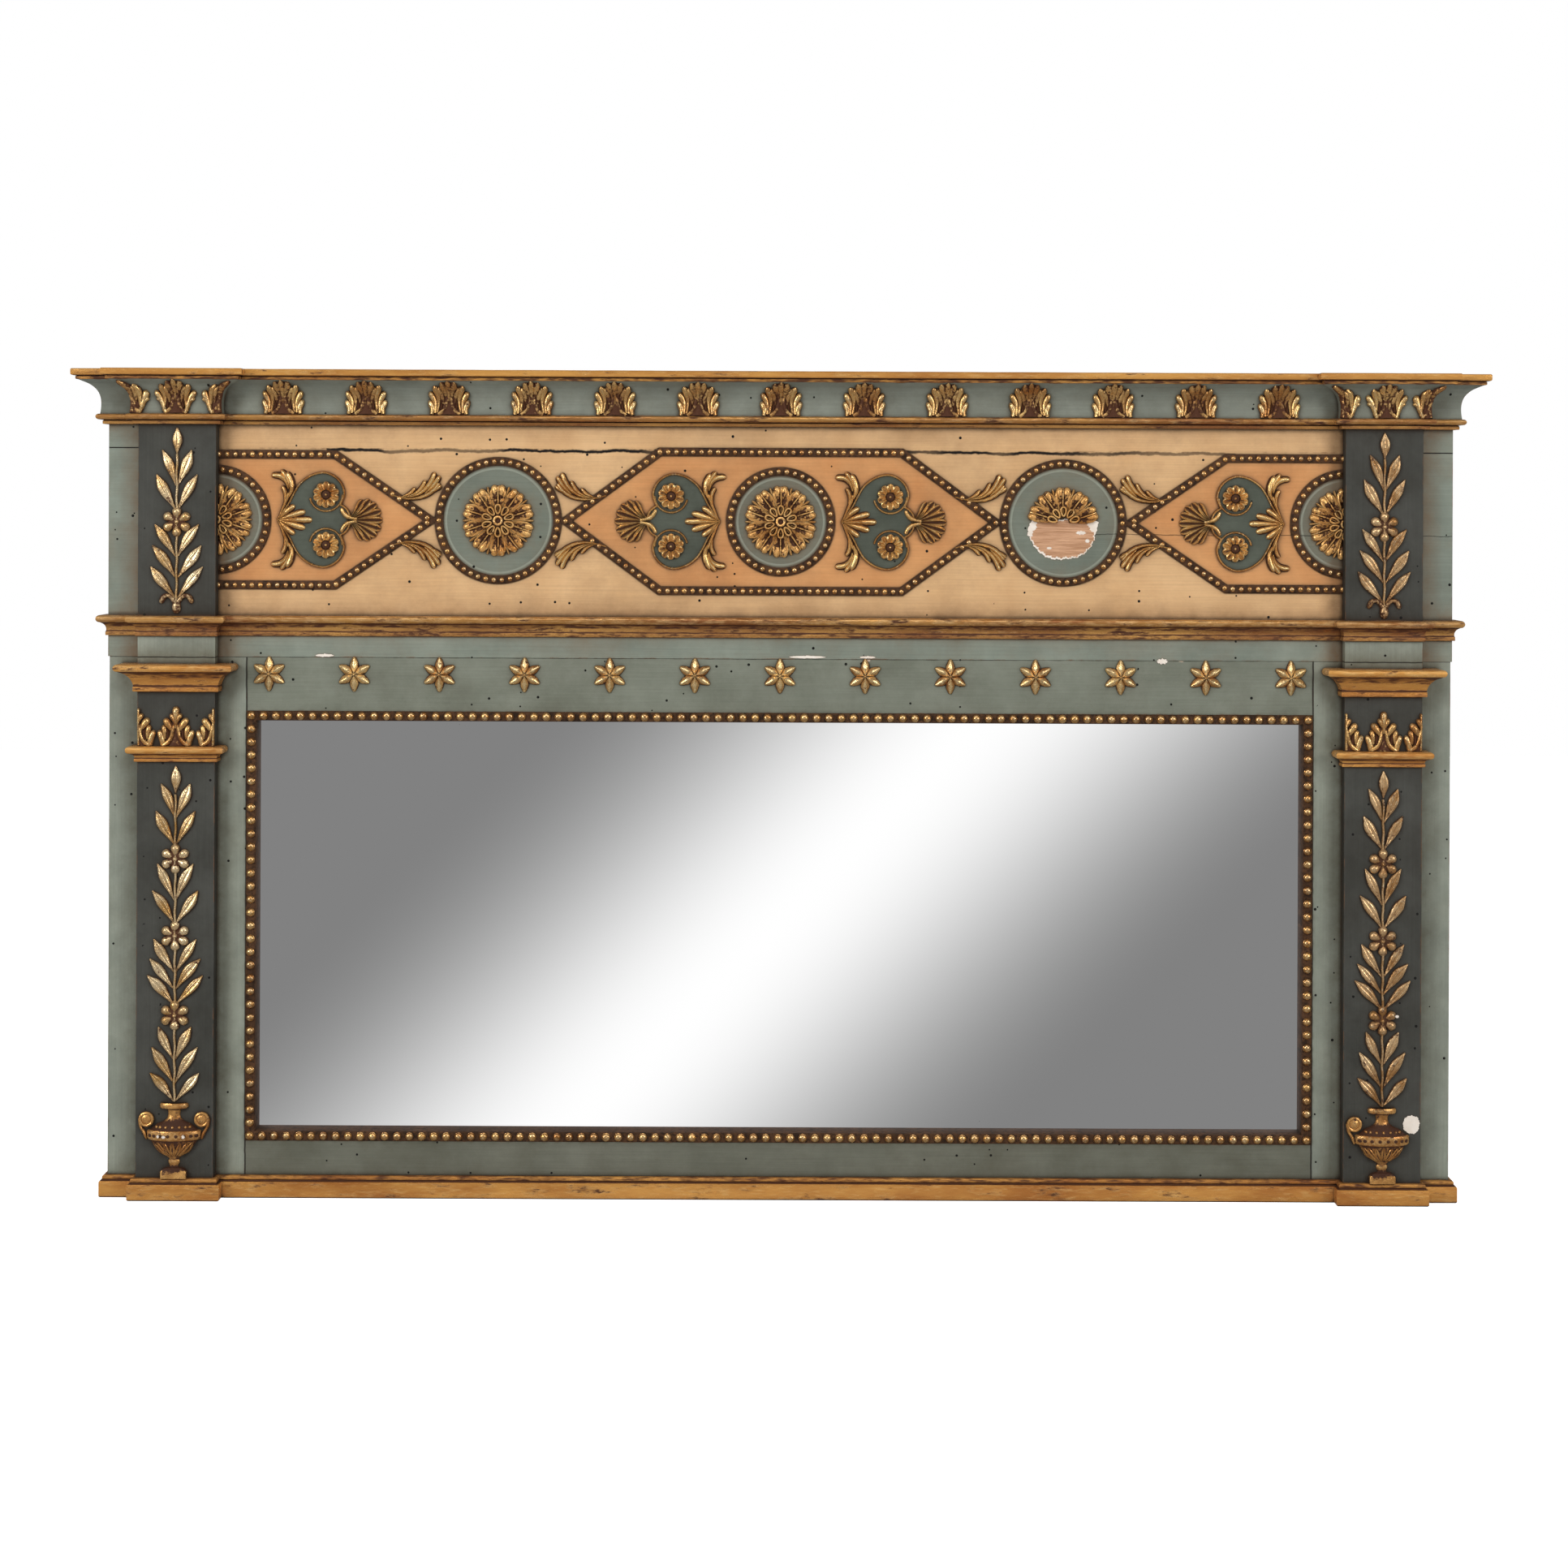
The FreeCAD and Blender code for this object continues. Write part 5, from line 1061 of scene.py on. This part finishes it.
tip, corner, half_height = centre_panel
hexagon = [(-tip, 0), (-corner, half_height), (corner, half_height), (tip, 0), (corner, -half_height),
           (-corner, -half_height)]
strips = [flat_strip(hexagon, True)]
bead_lines = [hexagon + hexagon[:1]]
tip, corner, half_height = end_panel
for sign in (-1, 1):
    half_panel = [(sign * inner_edge, half_height), (sign * corner, half_height), (sign * tip, 0),
                  (sign * corner, -half_height), (sign * inner_edge, -half_height)]
    strips.append(flat_strip(half_panel, False))
    bead_lines.append(half_panel)
piece("panel_border_strips", strips, strip_gilt, ["panel_borders"])
rings, ring_lines = [], []
for x, radius in ((-medallion_x, large_ring), (0, small_ring), (medallion_x, large_ring)):
    rings.append(flat_strip(circle(x, radius)[:-1], True))
    ring_lines.append(circle(x, radius))
covered = math.degrees(math.acos((inner_edge - half_medallion_x) / small_ring))
for sign in (-1, 1):
    start, sweep = (180 - covered, -2 * (180 - covered)) if sign < 0 else (covered, 2 * (180 - covered))
    half_ring = circle(sign * half_medallion_x, small_ring, start, sweep, 40)
    rings.append(flat_strip(half_ring, False))
    ring_lines.append(half_ring[1:-1])
piece("medallion_ring_strips", rings, strip_gilt, ["medallion_rings"])
small_bead = [dome(on_face(0, 0, 0), 0, 0, 3.7, 3.7, 3.1, 10, 4)]
strip_top = board_front - 1.9
bead_lines = [[(x, strip_top, frieze_line + z) for x, z in way] for way in bead_lines]
ring_lines = [[(x, strip_top, frieze_line + z) for x, z in way] for way in ring_lines]
set_along("panel_border_beads", bead_lines, small_bead, 10.3, 0.15, bead_gilt)
set_along("medallion_ring_beads", ring_lines, small_bead, 10.1, 0.15, bead_gilt)

# Medallion rosettes: ten hollow petals and ten thin leaves round small loops. The right one has
# lost its lower half, which has left a patch of bare gesso; the end ones are cut by the pilasters.
HOLLOW = mirrored((1, 0, 0), (0.96, 0.8, 0.9), (0.82, 1, 1), (0.56, 0.5, 0.45), (0.17, 0.25, 0.15),
                  (0.06, 0.72, 0.95))
rosette_gilt = gilding("water_gilding_on_rosettes", "#f0bd76", "#c98b48", "#452818", 3.0, 0.72, 0.55,
                       "#f6cf90", 1.9)


def rosette(x, kept=lambda angle: True):
    """Ten hollow petals with ten thin leaves between them, a wreath of ten wire loops and a ring."""
    shells = []
    ground = on_face(x, frieze_line, board_front)
    whole = kept(0) and kept(270)
    if whole:
        shells.append(dome(ground, 0, 0, 41, 41, 1.6, 40, 2, -0.3))
    for i in range(20):
        angle = 18 * i - 90
        if not kept(angle + 90):
            continue
        blade = on_face(x, frieze_line, board_front, angle)
        sway = 0.7 * math.sin(2.3 * i + x)
        if i % 2 == 0:
            shells.append(lobe(blade, [(0, 12), (sway, 28), (0, 43.6)], [1.0, 1.7, 2.3, 2.6, 2.2, 1.0],
                               [4.2, 4.8, 5.0, 4.6, 4.0, 3.0],
                               RIDGE, 8, 1.1))
        else:
            shells.append(lobe(blade, [(0, 7), (-sway, 26), (0, 43.4)], [2.4, 4.8, 7.4, 9.6, 10.4, 9.0],
                               [4.8, 5.0, 5.2, 5.2, 4.8, 4.0],
                               HOLLOW, 9, (0.6, 0.6, 0.8, 1.3)))
            for side in (-1, 1):
                shells.append(lobe(blade, [(3.0 * side, 27), (4.4 * side, 35), (4.7 * side, 44)],
                                   [0.9, 2.8, 4.3, 4.5, 3.6],
                                   [3.6, 4.6, 5.4, 5.4, 4.2], LOBE, 7, (0.1, 0.55, 1.1)))
    if whole:
        shells.append(dome(ground, 0, 0, 17, 17, 4.6, 20, 3, -0.3))
    for i in range(10):
        if kept(36 * i + 90):
            spoke = on_face(x, frieze_line, board_front, 36 * i)
            loop = [((3.1 + 0.9 * math.sin(t)) * math.cos(t),
                     14.2 + 5.6 * math.sin(t)) for t in np.linspace(0, 2 * math.pi, 15)[:-1]]
            shells.append(wire(spoke, loop, 1.15, 5.4, True))
    if whole:
        shells.append(wire(ground, circle(0, 4.8, count=16)[:-1], 1.5, 5.6, True, 8))
    return shells


rosettes = rosette(-medallion_x) + rosette(0)
rosettes += rosette(medallion_x, lambda angle: 8 < angle % 360 < 172)
piece("medallion_rosettes_carved", rosettes, rosette_gilt, ["medallion_rosettes"])
end_rosettes = piece("end_rosettes_carved", rosette(-half_medallion_x) + rosette(half_medallion_x),
                     rosette_gilt)
trim = bmesh.new()
trim.from_mesh(end_rosettes.data)
for sign in (-1, 1):
    cut = bmesh.ops.bisect_plane(trim, geom=trim.verts[:] + trim.edges[:] + trim.faces[:], dist=1e-6,
                                 plane_co=(sign * (inner_edge - 0.1) * MM, 0, 0), plane_no=(sign, 0, 0),
                                 clear_outer=True)
    bmesh.ops.holes_fill(trim, edges=[e for e in cut["geom_cut"] if isinstance(e, bmesh.types.BMEdge)],
                         sides=0)
bmesh.ops.recalc_face_normals(trim, faces=trim.faces)
trim.to_mesh(end_rosettes.data)
trim.free()

# Where carving has broken away: white gesso, chalky, with a soiled bloom, that stayed on the
# wood in thin ragged patches.
gesso, tree, shader, place = finish_tree("bare_white_gesso")
bloom = add(tree, "TexNoise", {"Vector": place, "Scale": 1 / (9 * MM), "Detail": 5.0})
chalk = add(tree, "MixRGB", (bloom, tint("#d2c2b0"), tint("#efe8df")))
feed(tree, shader, {"Base Color": chalk})
chalky = add(tree, "Bump", {"Strength": 0.5, "Distance": 0.6 * MM, "Height": bloom})
feed(tree, shader, {"Normal": chalky, "Roughness": 0.9})
# Under it the torn pine, pink brown, with its grain lying level
torn_pine, tree, shader, place = finish_tree("torn_pine_under_gesso")
fibres = add(tree, "Mapping", {"Vector": place, "Scale": (26, 300, 520)})
torn = add(tree, "TexNoise", {"Vector": fibres, "Scale": 1.0, "Detail": 6.0, "Roughness": 0.7})
share = add(tree, "MapRange", (torn, 0.36, 0.66))
fibre = add(tree, "MixRGB", (share, tint("#9c6f4c"), tint("#d0a380")))
feed(tree, shader, {"Base Color": fibre})
tear = add(tree, "Bump", {"Strength": 0.6, "Distance": 0.8 * MM, "Height": torn})
feed(tree, shader, {"Normal": tear, "Roughness": 0.85})


def thin_plate(ground, outline, thickness):
    """A thin flat plate of any outline, such as a patch of gesso or a heart."""
    low_edge = [ground(u, v, -SINK) for u, v in outline]
    top_edge = [ground(u, v, thickness) for u, v in outline]
    return low_edge + top_edge, tube_faces(2, len(outline), False), [1.0] * (2 * len(outline))


def ragged(corners, bite):
    """A closed outline with a torn edge; bite is the depth of the tears in mm."""
    line = np.array(smooth_line(corners + corners[:1], np.linspace(0, 1, 10 * len(corners) + 1))[:-1])
    middle = line.mean(axis=0)
    for i, point in enumerate(line):
        swing = math.sin(1.9 * i) * 0.5 + math.sin(0.77 * i + 1) * 0.6 + math.sin(3.1 * i + 2) * 0.3
        line[i] = middle + (point - middle) * (1 + bite * swing / np.linalg.norm(point - middle))
    return [tuple(point) for point in line]


lost_half = [(-38, 7), (-18, 5.5), (-5, 4.5), (14, 5), (32, 4), (43, 1), (40, -13), (37, -24), (29, -35),
             (18, -42), (6, -44),
             (-6, -45), (-18, -43), (-28, -37), (-36, -28), (-41, -18), (-44, -12)]
bared_wood = [(-31, 4.6), (-16, 4), (-4, 3), (12, 3.6), (28, 2.4), (32, -6), (38, -14), (35.5, -24.5),
              (28, -34), (17, -40.6), (6, -42),
              (-6, -42.4), (-17, -40.6), (-27, -34.6), (-35, -26), (-39, -17), (-33.5, -6)]
handle_scar = [(0, 11), (8, 8), (10, -1), (6, -10), (-2, -11), (-9, -6), (-9.6, 3), (-6, 9)]
scarred = on_face(medallion_x, frieze_line, board_front)
scars = [thin_plate(scarred, ragged(lost_half, 1.0), 0.5),
         thin_plate(on_face(pilaster_x + 36, urn_foot + 72, pilaster_front), ragged(handle_scar, 0.6), 0.7)]
# Chips on the joint, two end leaves, the left urn's band, a flower and the torn patch:
# middle, half sizes, face
for x, z, wide, high, face in ((34, 667.5, 23, 1.6, board_front), (108, 667.5, 10, 1.4, board_front),
                               (471, 664, 6.5, 3.2, board_front), (-561, 667, 11.5, 1.8, board_front),
                               (-705, 586, 1.6, 8, board_front), (693, 990, 2.2, 2.4, pilaster_front - 10),
                               (803, 997, 2.0, 2.2, pilaster_front - 10),
                               (-757, 80.6, 1.4, 1.8, pilaster_front - 15),
                               (-750, 80, 2.2, 1.6, pilaster_front - 15.4),
                               (-726, 80.2, 1.8, 2.0, pilaster_front - 14.8),
                               (757, 232, 2.2, 1.6, pilaster_front - 5.4),
                               (370, 822, 6, 2.2, board_front - 0.6),
                               (378, 812, 2.6, 2.2, board_front - 0.6),
                               (331, 803, 3, 1.4, board_front - 0.6)):
    corners = [(wide * math.cos(t), high * math.sin(t)) for t in np.linspace(0, 2 * math.pi, 8)[:-1]]
    scars.append(thin_plate(on_face(x, z, face), ragged(corners, 0.35 * min(wide, high)), 0.45))
piece("gesso_scars", scars, gesso)
piece("torn_wood", [thin_plate(scarred, ragged(bared_wood, 1.5), 0.7)], torn_pine)

# Hearts: flat plates painted dark green, edged with a gilt twisted wire that curls round two small
# rosettes, with a palmette in the cleft and a leaf spray over the point.

heart_paint = distemper("dark_blue_green_paint_on_hearts", ("#454a40", "#565b50"), "X", "#2a251c")
frieze_gilt = gilding("water_gilding_on_frieze_carving", "#e6b872", "#bd8446", "#442716", 1.8, 0.5, 0.75,
                      "#f6d9a0", 0.8)
heart_line = 135.0
plate_height = 1.5
crown_of_heart = [(60, 0), (52, 11), (45, 21.6), (39.5, 32.7), (31.4, 45), (17, 55), (0, 57.8), (-15.5, 49),
                  (-22.2, 33.5),
                  (-17.5, 18.5)]
upper_edge = [tuple(point) for point in smooth_line(crown_of_heart, np.linspace(0, 1, 40))]
upper_edge += arc((-17.5, 18.5), (-29, 0), -4.0, 7)[1:]
outline = upper_edge + [(u, -v) for u, v in reversed(upper_edge[1:-1])]


def paced(points, pitch, closed):
    """The same line, with points at an even pitch, so that a twist shows on it."""
    line = np.array(points + points[:1] if closed else points, float)
    run = np.concatenate(([0], np.cumsum(np.linalg.norm(np.diff(line, axis=0), axis=1))))
    marks = np.linspace(0, run[-1], int(run[-1] / pitch) // 2 * 2 + 1)
    marks = marks[:-1] if closed else marks
    return np.column_stack((np.interp(marks, run, line[:, 0]), np.interp(marks, run, line[:, 1])))


def over_and_under(ground):
    """The same ground, and its mirror image about the line v = 0, by 1 and -1."""
    return {1: ground, -1: lambda u, v, h: ground(u, -v, h)}


# A small petal with raised edges
CUPPED = mirrored((1, 0, 0), (0.92, 0.8, 0.9), (0.62, 1, 1), (0.2, 0.5, 0.4))
# A lobe that is drawn as a loop: bright rims about a dark trough
LOOPED = mirrored((1, 0, 0), (0.95, 0.7, 0.8), (0.6, 1, 1.2), (0.2, 0.4, 0))
# A narrow ridge between two bare cuts, as a veiner leaves it
STREAK = mirrored((1, 0, 0), (0.9, 0.3, -0.2), (0.5, 0.72, 0.5), (0.12, 1, 1))
plates, wires, small_rosettes, palmettes, sprays = [], [], [], [], []
for centre, turn in ((0, 1), (0, -1), (-half_medallion_x, 1), (half_medallion_x, -1)):
    x = centre + turn * heart_line
    ground = on_face(x, frieze_line, board_front, 0, -turn)
    plates.append(thin_plate(ground, outline, plate_height))
    wires.append(wire(ground, paced(outline, 1.9, True), 1.25, plate_height + 0.4, True, 6, 0.16))
    for way in (-1, 1):
        half = over_and_under(ground)[way]
        curl = [(20.2 * math.cos(math.radians(a)), 31 + 20.2 * math.sin(math.radians(a))) for a in range(180, 351, 8)]
        wires.append(wire(half, paced(curl, 1.9, False), 1.2, plate_height + 0.4, False, 6, 0.16))
        bloom = on_face(x, frieze_line + way * 31, board_front - plate_height)
        for i in range(10):
            petal = on_face(x, frieze_line + way * 31, board_front - plate_height, 36 * i)
            small_rosettes.append(lobe(petal, [(0, 6), (0.2, 11), (0, 16.4)], [2.2, 3.6, 4.8, 5.0],
                                       [3.2, 3.8, 4.2, 4.0], CUPPED, 6, (0.9, 1.25)))
        small_rosettes.append(dome(bloom, 0, 0, 6, 6, 2.2, 14, 3, -0.3))
        small_rosettes.append(dome(bloom, 0, 0, 2.0, 2.0, 4.0, 8, 3))
        palmettes.append(lobe(half, [(-38, 1.5), (-28, 3.4), (-22, 8), (-18.4, 15)], [2.6, 3.0, 2.8, 2.4],
                              [4.2, 4.4, 4.2, 3.4]))
        # The S-shaped sprig beside the heart's point: its stem, its horn and its curled leaf
        for spine, widths, gold in (([(58, 3), (53, 14), (48.6, 25), (45.6, 34)], [1.5, 2.5, 3.1, 2.9],
                                     (0.8, 1.0)),
                                    ([(51.6, 17), (49.8, 28), (51, 36), (54.4, 41.6)], [1.3, 2.9, 3.5, 3.0],
                                     (0.8, 1.25)),
                                    ([(48, 26), (42.6, 36), (43, 47), (48.6, 59)], [1.6, 3.8, 5.0, 4.6],
                                     (0.8, 1.25)),
                                    ([(45, 40), (48, 51), (55.4, 61.4)], [1.4, 3.6, 4.4, 3.8], (0.8, 1.3)),
                                    ([(46.4, 38), (49.6, 48), (57, 54), (67.6, 55)], [1.5, 3.8, 4.8, 3.9],
                                     (0.8, 1.3))):
            sprays.append(lobe(half, spine, widths, [3.2, 4.4, 5.0, 4.2], STREAK, 9, gold))
        # The leaf over the point has two lobes on each side of its tip
        for spine, widths in (([(57, 0.8), (42, 5.6), (25, 10.4)], [1.4, 3.4, 5.0, 5.6, 4.6]),
                              ([(57, 1.8), (48, 10.8), (38, 18)], [1.4, 3.4, 4.8, 5.0, 4.2])):
            sprays.append(lobe(half, spine, widths, [3.4, 4.6, 5.2, 4.4], STREAK, 8, (0.8, 1.25)))
    sprays.append(lobe(ground, [(59, 0), (38, 0), (16.4, 0)], [1.6, 3.0, 4.6, 5.4, 4.6],
                       [3.8, 4.8, 5.4, 5.4, 4.4], STREAK, 8, (0.8, 1.25)))
    sprays.append(lobe(ground, [(58, 0), (46, 0), (32, 0)], [2, 7, 10, 10, 7], [1.4, 1.6, 1.6, 1.4], LOBE,
                       6, -0.3))
    for i in range(-4, 5):
        angle = math.radians(26 * i)
        tip = (-50 - 19.6 * math.cos(angle), 25.6 * math.sin(angle))
        bend = (-37 - 6 * math.cos(angle), 8 * math.sin(angle))
        palmettes.append(lobe(ground, [(-27, 0.8 * math.sin(angle)), bend, tip],
                              [0.9, 1.2, 2.0, 3.3, 4.5, 4.5],
                              [3.6, 4.2, 4.6, 5.0, 5.0, 4.2], LOOPED, 9))
    palmettes.append(dome(ground, -47, 0, 19, 21, 1.6, 20, 2, -0.3))
piece("heart_plates", plates, heart_paint, ["hearts"], sharp=30)
piece("heart_wires", wires, bead_gilt)
piece("heart_small_rosettes", small_rosettes, frieze_gilt, ["heart_rosettes"])
piece("heart_palmettes", palmettes, frieze_gilt, ["palmettes"])

# Sprigs of leaf beside each whole medallion, carved, gilt and glued on, four to each, where the
# panels' points meet the rings.
for centre in (-medallion_x, medallion_x):
    for across in (-1, 1):
        for way in (-1, 1):
            ground = on_face(centre, frieze_line, board_front, 0, across)
            half = over_and_under(ground)[way]
            for spine, widths in (([(133, 31.5), (113, 26.6), (96, 28), (82, 35), (72.4, 46)],
                                   [1.2, 2.0, 3.0, 3.8, 3.4]),
                                  ([(121, 28.6), (104, 30), (91.4, 37), (83, 47), (78, 59)],
                                   [1.1, 2.2, 3.5, 4.4, 3.8]),
                                  ([(113, 29), (103, 32.6), (95, 39), (89.6, 49)], [1.1, 2.5, 3.6, 3.3]),
                                  ([(118, 29), (109, 33), (102, 40)], [1.0, 2.3, 3.1, 2.7]),
                                  ([(90, 33), (80, 43), (72, 54.6)], [1.5, 3.5, 4.4, 3.8]),
                                  ([(84, 34), (76, 38.6), (70, 43)], [1.5, 3.1, 3.5, 3.0])):
                sprays.append(lobe(half, spine, widths, [3.2, 4.6, 5.2, 4.2], STREAK, 9, (0.8, 1.3)))
            sprays.append(lobe(half, [(112, 29.6), (96, 34), (79, 47)], [1.4, 5.6, 9, 7],
                               [1.4, 1.8, 1.8, 1.4], LOBE, 7, -0.3))
piece("leaf_sprays_carved", sprays, frieze_gilt, ["leaf_sprays"])

# Studio: a white floor and surround, two soft lamps from the sides, and a card behind the camera
# whose diagonal grey and white band shows in the plate.
world = bpy.data.worlds.new("white_surround")
bpy.context.scene.world = world
world.use_nodes = True
tree = world.node_tree
sky = tree.nodes["Background"]
ray = add(tree, "LightPath")
dim = add(tree, "MapRange", (ray.outputs["Is Glossy Ray"], 0.0, 1.0, 0.38, 0.22))
level = add(tree, "Math", (ray.outputs["Is Camera Ray"], dim), operation="MAXIMUM")
feed(tree, sky, {"Color": (1, 1, 1, 1), "Strength": level})

floor_mesh = bpy.data.meshes.new("floor")
floor_mesh.from_pydata([(-9, -7, 0), (9, -7, 0), (9, 6, 0), (-9, 6, 0)], [], [(0, 1, 2, 3)])
floor = set_in_scene("floor", floor_mesh)
floor.visible_glossy = False
paper = bpy.data.materials.new("white_floor")
paper.use_nodes = True
tree = paper.node_tree
tree.nodes.remove(tree.nodes["Principled BSDF"])
ray = add(tree, "LightPath")
matt = add(tree, "BsdfDiffuse", {"Color": tint("#f2f2f2")})
glow = add(tree, "Emission", {"Strength": 0.8})
lifted = add(tree, "AddShader", (matt, glow))
white = add(tree, "MixShader", (ray.outputs["Is Camera Ray"], matt, lifted))
feed(tree, tree.nodes["Material Output"], {"Surface": white})
floor_mesh.materials.append(paper)

card_mesh = bpy.data.meshes.new("reflected_card")
card_y = -5.0
card_mesh.from_pydata([(-4, card_y, -3), (4, card_y, -3), (4, card_y, 2.5), (-4, card_y, 2.5)], [],
                      [(0, 1, 2, 3)])
card = set_in_scene("reflected_card", card_mesh)
card.visible_camera = card.visible_diffuse = card.visible_shadow = card.visible_transmission = False
camera_distance = 3.405
frame_width = 1.932
eye = (4 * MM, -3.4, 860 * MM)
plate_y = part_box("mirror_glass")[0].y
spread = 1 + (plate_y - card_y) / (plate_y - eye[1])
band = bpy.data.materials.new("grey_and_white_band")
band.use_nodes = True
tree = band.node_tree
tree.nodes.remove(tree.nodes["Principled BSDF"])
spot = add(tree, "SeparateXYZ", (add(tree, "TexCoord").outputs["Object"],))
seen = []
for axis, from_eye in (("X", eye[0]), ("Z", eye[2])):
    off = add(tree, "Math", (spot.outputs[axis], from_eye), operation="SUBTRACT")
    seen.append(add(tree, "Math", (off, 1 / spread, from_eye), operation="MULTIPLY_ADD"))
band_offset, band_half_width = 0.337, 0.55
edge_grey = 0.502
lean = add(tree, "Math", (seen[0], seen[1]), operation="SUBTRACT")
off = add(tree, "Math", (lean, band_offset), operation="ADD")
off = add(tree, "Math", (off,), operation="ABSOLUTE")
turn = add(tree, "Math", (off, math.pi / 2 / band_half_width), operation="MULTIPLY")
turn = add(tree, "Math", (turn, math.pi / 2), operation="MINIMUM")
wave = add(tree, "Math", (turn,), operation="COSINE")
wave = add(tree, "Math", (wave, wave), operation="MULTIPLY")
grey = add(tree, "Math", (wave, 1 - edge_grey, edge_grey), operation="MULTIPLY_ADD")
fall = add(tree, "Math", (grey, 2.2), operation="POWER")
glow = add(tree, "Emission", {"Strength": fall})
feed(tree, tree.nodes["Material Output"], {"Surface": glow})
card_mesh.materials.append(band)

for name, stand, power, size in (("left_softbox", (-2.7, -2.3, 1.5), 50, (1.0, 1.4)),
                                 ("right_softbox", (2.7, -2.3, 1.5), 38, (1.0, 1.4)),
                                 ("top_softbox", (0, -1.9, 2.6), 20, (2.4, 0.7))):
    lamp = bpy.data.lights.new(name, "AREA")
    lamp.shape = "RECTANGLE"
    lamp.size, lamp.size_y = size
    lamp.energy = power
    holder = set_in_scene(name, lamp)
    holder.location = stand
    aim = np.array((0, 0, 0.5)) - np.array(stand)
    holder.rotation_euler = (math.atan2(math.hypot(aim[0], aim[1]), -aim[2]), 0,
                             math.atan2(aim[1], aim[0]) - math.pi / 2)

# The camera stands square to the boards, 3.4 m away and higher than their middle, with a shifted
# lens that keeps the uprights parallel; the photograph is turned by a quarter degree.
frame_middle = 0.511
lens = bpy.data.cameras.new("camera")
lens.sensor_width = 36.0
lens.lens = lens.sensor_width * camera_distance / frame_width
lens.shift_y = (frame_middle - eye[2]) / frame_width
camera = set_in_scene("camera", lens)
camera.location = eye
camera.rotation_euler = (math.pi / 2, math.radians(-0.25), 0)
bpy.context.scene.camera = camera
bpy.context.scene.view_settings.view_transform = "Standard"
